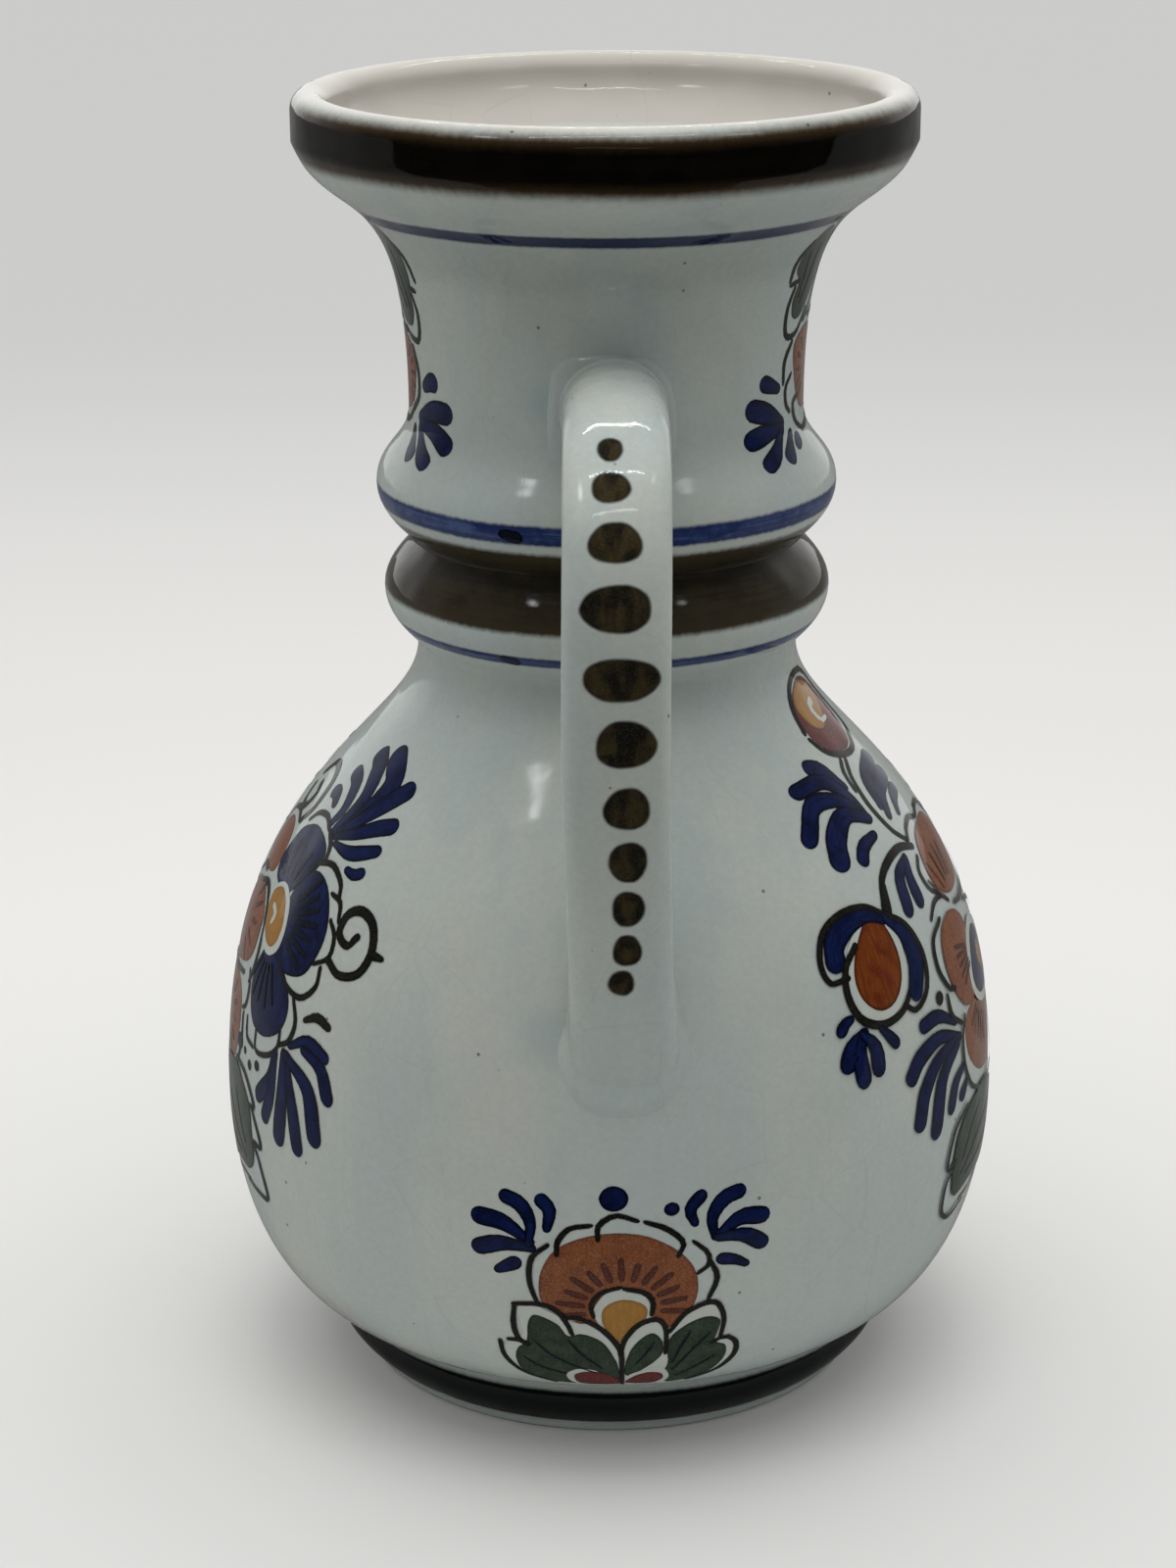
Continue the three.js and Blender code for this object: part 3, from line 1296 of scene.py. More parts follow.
RINGS = (
    WheelRing(215.9, 226.3, 49.4, 1.5, 1.3, (0.048, 0.029, 0.013), (0.0012, 0.001, 0.0008), 3.4, 0.05),
    WheelRing(206.7, 209.0, 30.0, 0.4, 0.6, (0.005, 0.008, 0.036), (0.008, 0.013, 0.052), 0.9, 0.7),
    WheelRing(157.4, 161.0, 30.0, 0.5, 1.2, (0.010, 0.018, 0.075), (0.046, 0.076, 0.19), 1.3, 0.8),
    WheelRing(142.0, 156.0, 30.0, 0.8, 1.2, (0.037, 0.030, 0.018), (0.021, 0.0175, 0.0115), 5.0, 0.65),
    WheelRing(136.1, 138.1, 30.0, 0.4, 0.7, (0.010, 0.018, 0.075), (0.035, 0.058, 0.15), 0.9, 0.8),
    WheelRing(2.7, 10.3, 43.0, 0.5, 0.5, (0.004, 0.005, 0.005), (0.0022, 0.003, 0.0034), 1.4, 0.1),
)
# Painted shade on the neck: a little from 165 to 219 mm, and more from 196 to 216 mm under the flare of the
# rim.
NECK_PAINTED_SHADES = (PaintedShadeBand(165, 219, 12, (0.96, 0.965, 0.96)), PaintedShadeBand(196, 216, 6, (0.86, 0.86, 0.855)))


@dataclass(frozen=True)
class Paint:
    """An underglaze pigment: thin and light where the brush slid, dark where it rested."""

    name: str
    thin: Colour
    thick: Colour
    shade: Colour
    streak: float = 0.5
    pooled: float = 0.6
    soft: float = 0.16
    speckle: float = 0.25
    bristle: float = 1.5

    def material(self, coat: Effect, glaze: Glaze) -> Material:
        """Builds the pigment's finish.

        Args:
            coat: the shared glaze.
            glaze: the gloss of the piece that it is painted on.

        Returns:
            The material.
        """
        wires = Finish(self.name)
        edge = wires.add("Attribute", attribute_name="edge").outputs["Fac"]
        pull = wires.add("Attribute", attribute_name="pull").outputs["Vector"]
        base = coat.place(wires, Place=wires.place, Pool=0.0)
        drawn = wires.noise(wires.stretch(pull, (0.16, self.bristle, 1)), 1.0, 4, 0.6)
        cloud = wires.noise(wires.stretch(pull, (0.35, 0.35, 1)), 1.0, 2)
        grain = wires.noise(wires.place, 3600, 3, 0.7)
        tone = wires.blend(wires.step(drawn, 0.32, 0.72, 0, self.streak), self.thin, self.thick)
        tone = wires.blend(wires.step(cloud, 0.42, 0.68), tone, self.shade)
        rest = wires.step(edge, 0.25, 0.85, self.pooled, 0)
        tone = wires.blend(rest, tone, self.thick)
        tone = wires.blend(wires.step(grain, 0.45, 0.8, 0, self.speckle), tone, base.outputs["Colour"])
        ragged = wires.math("MULTIPLY_ADD", wires.noise(wires.place, 1100, 3, 0.6), 0.16, -0.08)
        glaze.gloss(wires, tone, base)
        wires.set(Alpha=wires.step(wires.math("ADD", edge, ragged), 0.02, self.soft + 0.02))
        return wires.material


class Pigment(Enum):
    """What a mark is painted with, in the order of a painting's finishes."""

    ORANGE = Paint(
        "orange_slip", (0.200, 0.062, 0.018), (0.105, 0.028, 0.010), (0.150, 0.043, 0.015), speckle=0.3,
    )
    AMBER = Paint(
        "fired_orange", (0.17, 0.040, 0.005), (0.045, 0.007, 0.002), (0.105, 0.018, 0.003),
        0.6, 0.85, speckle=0.05,
    )
    RED = Paint(
        "dark_red", (0.11, 0.020, 0.016), (0.055, 0.009, 0.009), (0.085, 0.018, 0.016), speckle=0.15,
    )
    YELLOW = Paint(
        "antimony_yellow", (0.32, 0.162, 0.034), (0.20, 0.09, 0.016), (0.265, 0.128, 0.025),
        speckle=0.15,
    )
    GREEN = Paint(
        "copper_green", (0.020, 0.034, 0.020), (0.008, 0.013, 0.008), (0.028, 0.042, 0.027), speckle=0.1,
    )
    COBALT = Paint(
        "cobalt", (0.0045, 0.011, 0.064), (0.001, 0.0015, 0.006), (0.002, 0.0045, 0.027),
        0.6, 0.95, speckle=0.02,
    )
    BARE = Paint(
        "bare_glaze", (0.445, 0.472, 0.435), (0.445, 0.472, 0.435), (0.42, 0.455, 0.42),
        0.1, 0, 0.1, 1.0,
    )
    HATCH = Paint(
        "fine_red", (0.085, 0.024, 0.013), (0.045, 0.012, 0.007), (0.07, 0.018, 0.010),
        soft=0.4, speckle=0.15,
    )
    VEIN = Paint(
        "deep_cobalt", (0.004, 0.006, 0.018), (0.002, 0.0025, 0.007), (0.003, 0.004, 0.012),
        soft=0.3, speckle=0.03,
    )
    BLACK = Paint(
        "outline_black", (0.011, 0.010, 0.007), (0.002, 0.002, 0.002), (0.006, 0.006, 0.004),
        soft=0.3, speckle=0.05,
    )
    SPOT = Paint(
        "spot_brown", (0.036, 0.027, 0.011), (0.003, 0.003, 0.003), (0.008, 0.007, 0.005),
        0.85, 0.4, 0.8, 0.06, 0.42,
    )


@dataclass(frozen=True)
class Stroke:
    """One pull of a round brush.

    The path is in degrees round the jug and millimetres up its wall; widths are in
    millimetres, with the shares of the width that the brush leaves at its two ends.
    """

    pigment: Pigment
    path: tuple[Point, ...]
    width: float
    start: float = 0.45
    end: float = 0.95
    belly: float = 0.7

    def half_width(self, share: float) -> float:
        """Gives half the width of the stroke, without its round ends, at a share of it.

        Args:
            share: how far along the stroke.

        Returns:
            Millimetres.
        """
        if share < self.belly:
            part = self.start + (1 - self.start) * smooth(share / self.belly)
        else:
            part = 1 + (self.end - 1) * smooth((share - self.belly) / (1 - self.belly))
        return self.width * part / 2


@dataclass(frozen=True)
class Patch:
    """An area filled with one pigment, inside a smooth closed outline."""

    pigment: Pigment
    rim: tuple[Point, ...]


Mark = Stroke | Patch


def through(points: list[Vector], share: float, closed: bool) -> Vector:
    """Gives a place on the smooth line through some points.

    Args:
        points: what the line passes through.
        share: how far along the line, from 0 to 1.
        closed: whether the line runs back to its start.

    Returns:
        The place on the line.
    """
    spans = len(points) if closed else len(points) - 1
    at = share * spans
    index = min(int(at), spans - 1)
    part = at - index

    def corner(number: int) -> Vector:
        """Gives a corner by its number, also past the ends."""
        if closed:
            return points[number % len(points)]
        if number < 0:
            return points[0] * 2 - points[1]
        if number >= len(points):
            return points[-1] * 2 - points[-2]
        return points[number]

    before, start, end, after = (corner(index + shift) for shift in (-1, 0, 1, 2))
    leave = start + (end - before) / 6
    arrive = end - (after - start) / 6
    return on_cubic((start, leave, arrive, end), part)


@dataclass(frozen=True)
class Spot:
    """A place on a painted surface: where it is and which way the surface faces there."""

    place: Vector
    facing: Vector


class WallCanvas:
    """The wall of the jug, laid flat round a mark so that sizes on it are true."""

    BELLY_ARC = 59.33
    FOOT_ARC = WALL.arc_at(OUTLINE.belly_height) - BELLY_ARC

    def __init__(self, marks_turn: float = 0.0) -> None:
        """Sets how many degrees everything painted here is turned round the jug."""
        self.marks_turn = marks_turn

    def flat(self, points: tuple[Point, ...]) -> tuple[list[Vector], float]:
        """Lays points flat in millimetres, and gives the wall's radius among them.

        Args:
            points: degrees and millimetres.

        Returns:
            The flat places and the radius.
        """
        middle = sum(arc for _, arc in points) / len(points)
        radius = WALL.at_arc(middle + self.FOOT_ARC)[0][0]
        return [Vector((math.radians(turn) * radius, arc, 0)) for turn, arc in points], radius

    def lift(self, place: Vector, radius: float, height: float) -> Spot:
        """Puts a flat place back on the wall, a little above it.

        Args:
            place: a flat place.
            radius: the wall's radius by which it was laid flat.
            height: millimetres above the wall.

        Returns:
            The place in the frame, and its facing.
        """
        arc = min(max(place.y + self.FOOT_ARC, 0), WALL.arcs[-1])
        azimuth = place.x / radius + math.radians(self.marks_turn)
        (out, up), (outward, upward) = WALL.at_arc(arc)
        facing = Vector((outward * math.sin(azimuth), -outward * math.cos(azimuth), upward))
        return Spot(to_frame(out, azimuth, up) + facing * (height * MM), facing)


class StrapCanvas:
    """The outer face of the strap, laid flat: across it, and along it from its upper root."""

    def __init__(self, strap: StrapHandle) -> None:
        """Measures the outer face.

        Args:
            strap: the handle.
        """
        self.strap = strap
        steps = strap.along * 2
        self.shares = [step / steps for step in range(steps + 1)]
        self.crest = [strap.skin(share, 0.25) for share in self.shares]
        self.arcs = [0.0]
        for low, high in zip(self.crest, self.crest[1:]):
            self.arcs.append(self.arcs[-1] + (high - low).length / MM)

    def arc_near(self, radius: float, height: float) -> float:
        """Gives how far along the face the place nearest to a radius and height lies.

        Args:
            radius: millimetres from the jug's axis.
            height: millimetres above the table.

        Returns:
            Millimetres.
        """
        target = to_frame(radius, 0, height)
        nearest = min(range(len(self.crest)), key=lambda index: (self.crest[index] - target).length)
        return self.arcs[nearest]

    def flat(self, points: tuple[Point, ...]) -> tuple[list[Vector], float]:
        """Lays points flat; they are in millimetres already."""
        return [Vector((across, along, 0)) for across, along in points], 1.0

    def lift(self, place: Vector, radius: float, height: float) -> Spot:
        """Puts a flat place back on the strap, a little above it.

        Args:
            place: a flat place.
            radius: not used on the strap.
            height: millimetres above its face.

        Returns:
            The place in the frame, and its facing.
        """
        arcs = self.arcs
        index = max(next((at for at, value in enumerate(arcs) if value > place.y), len(arcs) - 1), 1)
        part = (place.y - arcs[index - 1]) / (arcs[index] - arcs[index - 1])
        share = self.shares[index - 1] + part * (self.shares[index] - self.shares[index - 1])
        offset = (place.x - self.strap.sway(share)) / self.strap.half_width(share)
        side = math.copysign(min(abs(offset), 0.999) ** (self.strap.corner_power(share) / 2), offset)
        turn = math.acos(side) / math.tau
        facing = self.strap.facing(share, turn)
        return Spot(self.strap.skin(share, turn) + facing * (height * MM), facing)


@dataclass
class Painting:
    """A group of marks, painted by hand on one canvas."""

    name: str
    marks: Sequence[Mark]
    canvas: WallCanvas | StrapCanvas
    carrier: str = "body"
    slot: str = "glazed_wall"
    margin: float = 0.12
    lift: float = 0.026
    level_radius: float = 60.0
    step: float = 0.7
    across: int = 6
    facings: list[Vector] = field(default_factory=list)

    def build(self) -> Shape:
        """Lays a grid along every stroke and round every patch.

        Returns:
            An open mesh that lies on the canvas, facing outwards.
        """
        shape = bmesh.new()
        self.edge = shape.verts.layers.float.new("edge")
        self.pull = shape.verts.layers.float_vector.new("pull")
        self.facing = shape.verts.layers.float_vector.new("facing")
        for number, (mark, height) in enumerate(zip(self.marks, self._heights())):
            if isinstance(mark, Stroke):
                self._stroke(shape, mark, height, number)
            else:
                self._patch(shape, mark, height, number)
        shape.normal_update()
        for face in shape.faces:
            wanted = sum((corner[self.facing] for corner in face.verts), Vector())
            if face.normal.dot(wanted) < 0:
                face.normal_flip()
        shape.verts.index_update()
        self.facings = [corner[self.facing].copy() for corner in shape.verts]
        return shape

    def _grid(
        self, shape: Shape, along: int, across: int, pigment: Pigment,
    ) -> list[Corner]:
        """Adds a unit grid for one mark and gives its corners.

        Args:
            shape: the painting's mesh.
            along: its faces one way.
            across: its faces the other way.
            pigment: its paint.

        Returns:
            The corners, in a square from -0.5 to 0.5.
        """
        made = bmesh.ops.create_grid(shape, x_segments=along, y_segments=across, size=0.5)["verts"]
        slot = list(Pigment).index(pigment)
        for face in {face for corner in made for face in corner.link_faces}:
            face.material_index = slot
        return made

    def _set(self, corner: Corner, spot: Spot, edge: float, pull: Place) -> None:
        """Moves a corner to its place and notes what its paint reads.

        Args:
            corner: the corner.
            spot: its place and facing.
            edge: how far inside the mark it lies.
            pull: its place on the brush's way.
        """
        corner.co = spot.place
        corner[self.edge] = edge
        corner[self.pull] = Vector(pull)
        corner[self.facing] = spot.facing

    def _heights(self) -> list[float]:
        """Gives each mark's height above the glaze, so that it covers the marks it crosses.

        Returns:
            Millimetres, one for each mark.
        """
        levels: list[tuple[Vector, Vector, Pigment, float]] = []
        for mark in self.marks:
            stroke = isinstance(mark, Stroke)
            points, radius = self.canvas.flat(mark.path if stroke else mark.rim)
            room = (mark.width / 2 if stroke else 0.0) + self.margin
            points = [Vector((point.x / radius * self.level_radius, point.y)) for point in points]
            low = Vector([min(point[axis] for point in points) - room for axis in (0, 1)])
            high = Vector([max(point[axis] for point in points) + room for axis in (0, 1)])
            level = 0.0
            for other_low, other_high, pigment, height in levels:
                if all(low[axis] < other_high[axis] and other_low[axis] < high[axis] for axis in (0, 1)):
                    level = max(level, height + (0.2 if pigment is mark.pigment else 1.0))
            levels.append((low, high, mark.pigment, level))
        return [self.lift * (1 + 0.6 * height) for *_, height in levels]

    def _stroke(self, shape: Shape, mark: Stroke, height: float, number: int) -> None:
        """Lays one stroke.

        Args:
            shape: the painting's mesh.
            mark: the stroke.
            height: millimetres above the canvas.
            number: its place in the list.
        """
        points, radius = self.canvas.flat(mark.path)
        length = sum((high - low).length for low, high in zip(points, points[1:]))
        along = max(int(length / self.step), 10)
        first, last = mark.half_width(0) + self.margin, mark.half_width(1) + self.margin
        for corner in self._grid(shape, along, self.across, mark.pigment):
            share = (1 - math.cos(math.pi * (corner.co.x + 0.5))) / 2
            side = corner.co.y * 2
            centre = through(points, share, False)
            ahead = through(points, min(share + 0.01, 1), False)
            ahead -= through(points, max(share - 0.01, 0), False)
            ahead.normalize()
            run = share * (length + first + last)
            half = mark.half_width(share) + self.margin
            cap = min(run / first, (length + first + last - run) / last, 1)
            half *= math.sqrt(max(1 - (1 - cap) ** 2, 0))
            slip = share * (first + last) - first
            place = centre + ahead * slip + Vector((-ahead.y, ahead.x, 0)) * (half * side)
            edge = half * (1 - abs(side))
            self._set(corner, self.canvas.lift(place, radius, height), edge, (run, side * half, number * 7.3))

    def _patch(self, shape: Shape, mark: Patch, height: float, number: int) -> None:
        """Fills one patch.

        Args:
            shape: the painting's mesh.
            mark: the patch.
            height: millimetres above the canvas.
            number: its place in the list.
        """
        points, radius = self.canvas.flat(mark.rim)
        centre = sum(points, Vector()) / len(points)
        size = sum((point - centre).length for point in points) / len(points)
        around = max(len(points) * 5, int(size * 8))
        made = self._grid(shape, around, max(int(size * 1.4), 5), mark.pigment)
        for corner in made:
            ray = through(points, corner.co.x + 0.5, True) - centre
            reach = ray.length + self.margin
            inward = 1 - (corner.co.y + 0.5) ** 1.6
            place = centre + ray.normalized() * (reach * inward)
            edge = reach * (1 - inward)
            spot = self.canvas.lift(place, radius, height)
            self._set(corner, spot, edge, (place.y - centre.y, place.x - centre.x, number * 7.3))
        bmesh.ops.remove_doubles(shape, verts=made, dist=1e-8)

    def dress(self, paints: list[Material]) -> Piece:
        """Makes the piece, with one finish for each pigment.

        Args:
            paints: the finishes, in the order of the pigments.

        Returns:
            The piece.
        """
        piece = as_piece(self.name, self.build(), self.slot, *paints)
        piece.data.normals_split_custom_set_from_vertices(self.facings)
        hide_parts(self.carrier)
        return piece


def pairs(places: Sequence[float]) -> tuple[Point, ...]:
    """Takes numbers two by two: degrees round the jug and millimetres up its wall."""
    return tuple(zip(places[::2], places[1::2]))


def lobe(width: float, *places: float) -> Stroke:
    """Gives a blue petal that is pulled from its narrow root to its round tip."""
    return Stroke(Pigment.COBALT, pairs(places), width * 1.03, 0.5)


def drop(width: float, *places: float) -> Stroke:
    """Gives a blue drop, set down thick and lifted off thin."""
    return Stroke(Pigment.COBALT, pairs(places), width, 1.0, 0.6, 0.3)


def outline(width: float, path: Sequence[Point]) -> Stroke:
    """Gives a black outline."""
    return Stroke(Pigment.BLACK, tuple(path), width * 1.3, 0.8, 0.8, 0.45)


def rule(width: float, *places: float) -> Stroke:
    """Gives a black outline from its numbers."""
    return outline(width, pairs(places))


def dot(pigment: Pigment, across: float, arc: float, radius: float) -> Patch:
    """Gives a round dot on the belly.

    Args:
        pigment: what it is painted with.
        across: degrees round the jug.
        arc: millimetres up its wall.
        radius: its size in millimetres.

    Returns:
        The dot.
    """
    turns = [math.tau * step / 8 for step in range(8)]
    wide = math.degrees(radius / DOT_WALL_RADIUS)
    rim = tuple((across + wide * math.cos(turn), arc + radius * math.sin(turn)) for turn in turns)
    return Patch(pigment, rim)


def patch(pigment: Pigment, *places: float) -> Patch:
    """Gives a filled area."""
    return Patch(pigment, pairs(places))


def vein(width: float, *places: float) -> Stroke:
    """Gives a dark blue vein or hatch."""
    return Stroke(Pigment.VEIN, pairs(places), width, 0.8, 0.4)


orange, amber, red, yellow = (partial(patch, Pigment[name]) for name in ("ORANGE", "AMBER", "RED", "YELLOW"))
green, blue, bare = (partial(patch, Pigment[name]) for name in ("GREEN", "COBALT", "BARE"))


def rays(
    pigment: Pigment, centre: Point, radius: float, first: float, last: float, count: int,
    inner: float, outer: float, width: float,
) -> list[Stroke]:
    """Gives hatches that fan out from a centre.

    Args:
        pigment: what they are drawn with.
        centre: degrees round the jug and millimetres up its wall.
        radius: the wall's radius there, in millimetres.
        first: direction of the first hatch in degrees, from the horizontal.
        last: direction of the last hatch.
        count: how many hatches there are.
        inner: where they start, in millimetres from the centre.
        outer: where they end.
        width: how thick they are.

    Returns:
        The hatches.
    """
    strokes = []
    for index in range(count):
        turn = math.radians(first + (last - first) * index / (count - 1))
        reach = outer - (index * 37 % 11) * 0.09 * width
        ends = []
        for distance in (inner, (inner + reach) / 2, reach):
            across = math.degrees(distance * math.cos(turn) / radius)
            ends.append((centre[0] + across, centre[1] + distance * math.sin(turn)))
        strokes.append(Stroke(pigment, tuple(ends), width * 1.15, 0.9, 0.85, 0.4))
    return strokes


# The half flower on a pair of leaves that stands under the handle.
PALMETTE: tuple[Mark, ...] = (
    lobe(3.2, -11.1, 53.5, -15.2, 53.9, -18.4, 52.9),
    lobe(3.3, -11.3, 54.6, -14.8, 57.6, -18.3, 58.5),
    lobe(2.7, -11.5, 54.2, -11.2, 58, -12.4, 61, -14.5, 62.5),
    drop(2.6, -9.5, 62.2, -8.5, 60.3, -8.9, 57.3),
    drop(2.6, -13.6, 50.4, -15.9, 48.9),
    lobe(2.8, 14.4, 55, 14, 58.5, 15.4, 61.4, 17.7, 62.7),
    lobe(3.2, 14.9, 55.2, 17.9, 57.8, 21.1, 57.8),
    lobe(3, 14.8, 54.8, 18.4, 54.7, 21.1, 52.9),
    drop(2.4, 12.3, 62.6, 10.9, 60.3, 11.5, 57.9),
    dot(Pigment.COBALT, 8.3, 60.7, 1.2),
    drop(2.3, 15.6, 50.7, 17.4, 50.2, 19, 49.2),
    dot(Pigment.COBALT, 0.3, 62.9, 2.25),
    orange(
        -9.6, 42.4, -10.1, 47.8, -8.1, 53, -4.3, 55.7, 0.4, 56.7, 4.8, 56, 8.8, 53.4, 11.4, 49.8,
        12.2, 45.6, 11.4, 41.4, 8.7, 37.8, 1.2, 36.5, -5.7, 39.5,
    ),
    *rays(Pigment.HATCH, (1.6, 42), 61, -6, 190, 13, 6.2, 9.8, 1.15),
    bare(-2.4, 40.3, -1.9, 43.5, -0.2, 45.7, 2.2, 46.1, 4.6, 44.9, 5.8, 42.4, 5.2, 39, 1.2, 34.5),
    yellow(1.8, 44, 4.7, 42.6, 4.7, 39.5, 1.2, 34.6, -1.2, 38.7, -1, 42.4),
    bare(
        -16.2, 32.5, -15.6, 28, -13, 23.5, -9, 20.8, 1.2, 20.4, 1.6, 32.5, -2.3, 38.4, -5, 38.9, -8, 40.5,
        -10.8, 42.2, -13.4, 41.5, -13.2, 35.5,
    ),
    bare(
        1.8, 20.6, 12.2, 20.8, 16.4, 24.2, 18.8, 29.8, 17.8, 33.2, 15.6, 34.5, 15.8, 39.6, 14.6, 42,
        10.9, 40.2, 8.6, 36.6, 6.4, 39.2, 4.2, 38.3, 2.2, 34.5,
    ),
    green(
        -10.9, 40.3, -7.9, 38.6, -6.4, 36, -4.3, 36.5, -1.6, 34.9, 0.1, 31.4, 1.1, 27.1, 1.3, 20.8,
        -5, 20.5, -9.8, 21.3, -13.9, 24.9, -14.8, 28.5, -14.2, 31.9, -12.6, 34.2, -12.1, 38.5,
    ),
    green(2.1, 28.5, 3.2, 33.5, 5.6, 36.5, 7.3, 34.9, 7.6, 31.4, 5.9, 28.1, 2.5, 24.5),
    green(
        8.7, 28.5, 8.3, 34.2, 10.4, 37.6, 13.6, 39.3, 15.8, 38.3, 15.7, 35.6, 15.5, 33.2, 17.3, 31.8,
        17.7, 28.5, 16.1, 24.2, 12.7, 21.2, 9.4, 20.4, 8.6, 22.4, 8.3, 26,
    ),
    bare(-7.2, 24.2, -5.8, 26.6, -3.4, 26.8, -1.6, 25.5, 1.2, 22, 1.4, 20.5, -5.4, 20.5),
    bare(2, 21.2, 2.6, 24.4, 5, 26.4, 7.4, 27.2, 8.8, 25.4, 9.2, 22.6, 7.6, 20.4),
    red(-6, 24.2, -4.6, 25.9, -1.8, 25.9, 0.6, 23.7, 1.4, 20.6, -4.8, 20.6),
    red(2.4, 21.2, 3.4, 24, 5.7, 25.6, 7.9, 24.9, 8.3, 22.6, 6.6, 20.5),
    rule(0.8, -2.6, 40.5, -2.9, 42.8, -1.6, 45.3, 1.2, 46.5),
    rule(0.9, 1.8, 46.2, 4.6, 45.3, 5.8, 43.4, 5.7, 40.8),
    rule(0.9, -13.9, 42.2, -14.3, 38, -13.9, 34.8, -12.4, 33.4),
    rule(0.9, -14, 42.3, -10, 42.6, -7.6, 41.2, -6.3, 38.4, -5.8, 36.6),
    rule(0.9, -6.6, 40, -4.6, 40, -1.4, 37.6, 1.2, 32.8, 1.6, 27, 1.8, 20.6),
    rule(0.9, -16.8, 33.3, -16.4, 28.8, -13.9, 24.2, -9.4, 20.9),
    rule(0.8, -15.4, 34, -13.8, 34, -12.6, 33),
    rule(0.9, 1.3, 31.5, 1.9, 35.1, 3.8, 38.5, 6.4, 39.6, 7.8, 37.4, 8.1, 31.4),
    rule(0.9, 8.4, 36.6, 10.5, 40.4, 13.4, 42.3, 15.3, 41.8, 16.4, 38.5, 16.3, 34.6),
    rule(0.8, 15.1, 33, 16.4, 33.9, 17.6, 33.7),
    rule(0.9, 17.6, 33.9, 19, 32, 19.2, 28.6, 17.2, 24.4, 12.7, 20.9),
    rule(0.9, -7.6, 52.6, -7.4, 55, -5.8, 57.4, -2.9, 58.1),
    rule(0.9, -1.9, 55.6, -1.7, 58.2, 0.6, 59.9, 3.5, 58.9),
    rule(0.9, 4.7, 58.6, 7.6, 57.2, 9.9, 54.6, 9.3, 52.2),
    rule(0.8, 11.4, 54.5, 13.4, 52.2, 13.6, 50, 12.2, 48.5),
    rule(0.9, 13.9, 50.4, 14.9, 47.2, 13.8, 43.2),
    rule(0.9, -8.9, 54.2, -11.1, 51.6, -11.5, 47.2, -10.5, 42.6),
    vein(0.6, -2.6, 25.8, -8.6, 30.4, -11.6, 34.6),
    vein(0.6, -1.4, 27.2, -4.6, 31.6, -6.4, 35),
    vein(0.6, -7.4, 25.2, -11.4, 27.4, -13.6, 30),
    vein(0.6, 9.6, 26, 12, 31.4, 14.6, 35.6),
    vein(0.6, 9.4, 28.6, 10.2, 32.4, 11.6, 36.4),
    vein(0.5, 3.6, 28.4, 5.2, 31.6, 6.2, 34.4),
    vein(0.6, 10.4, 23.8, 13.6, 26.8, 16.2, 29.6),
)


@dataclass(frozen=True)
class Board:
    """A small flat board on the wall, on which a motif is drawn in millimetres."""

    azimuth: float
    arc: float
    turn: float = 0.0
    scale: float = 1.0
    mirrored: bool = False

    def at(self, *points: Point) -> tuple[Point, ...]:
        """Turns places on the board into degrees round the jug and millimetres up its wall.

        Args:
            points: places on the board.

        Returns:
            The places on the wall.
        """
        radius = WALL.at_arc(self.arc + WallCanvas.FOOT_ARC)[0][0]
        turn = math.radians(self.turn)
        placed = []
        for across, up in points:
            across = (-across if self.mirrored else across) * self.scale
            up *= self.scale
            side = across * math.cos(turn) - up * math.sin(turn)
            rise = across * math.sin(turn) + up * math.cos(turn)
            placed.append((self.azimuth + math.degrees(side / radius), self.arc + rise))
        return tuple(placed)

    def draw(self, marks: Sequence[Mark]) -> list[Mark]:
        """Puts marks that are drawn in millimetres on the wall.

        Args:
            marks: what is drawn.

        Returns:
            The marks on the wall.
        """
        placed: list[Mark] = []
        for mark in marks:
            if isinstance(mark, Patch):
                placed.append(Patch(mark.pigment, self.at(*mark.rim)))
            else:
                width = mark.width * math.sqrt(self.scale)
                placed.append(replace(mark, path=self.at(*mark.path), width=width))
        return placed


def leaf_veins() -> list[Mark]:
    """Gives the four veins of a leaf, in millimetres on a board.

    Returns:
        The strokes.
    """
    veins: list[Mark] = []
    for turn, reach in ((70, 11.0), (84, 10.4), (98, 10.64), (112, 10.88)):
        side, rise = math.cos(math.radians(turn)), math.sin(math.radians(turn))
        path = tuple((side * part, 2 + rise * part) for part in (2.0, (2.0 + reach) / 2, reach))
        veins.append(Stroke(Pigment.BLACK, path, 0.5, 0.9, 0.5, 0.35))
    return veins


# A spray of five blue petals and two drops, growing up from its root.
SPRAY: tuple[Mark, ...] = (
    lobe(3.2, -0.6, 0.5, -4.4, 4.5, -9.6, 5),
    lobe(3.4, -0.3, 1.5, -2.6, 7.5, -7, 10.8),
    lobe(3.5, 0, 1.5, 0.5, 8, -0.6, 13.5),
    lobe(3.4, 0.4, 1.5, 3.6, 7.5, 6.8, 10.5),
    lobe(3.1, 0.6, 0.5, 5, 4, 9.8, 4.2),
    drop(2.5, -8.6, 1.4, -4.6, 0.6),
    drop(2.3, 8.4, 0.6, 4.8, -0.2),
)


# A black curl with a drop at its tail.
SCROLL: tuple[Mark, ...] = (
    rule(
        1.5, 0.3, 0.3, -1.3, -1, -3.4, 0.6, -3, 3.8, 0.2, 5.2, 3.6, 3.4, 4.4, -0.6, 2.8, -4.6, -1, -5.8,
        -4.6, -4.4,
    ),
    Stroke(Pigment.BLACK, ((4.8, -1.8), (7.0, -1.9)), 1.7, 1.0, 0.6, 0.3),
)


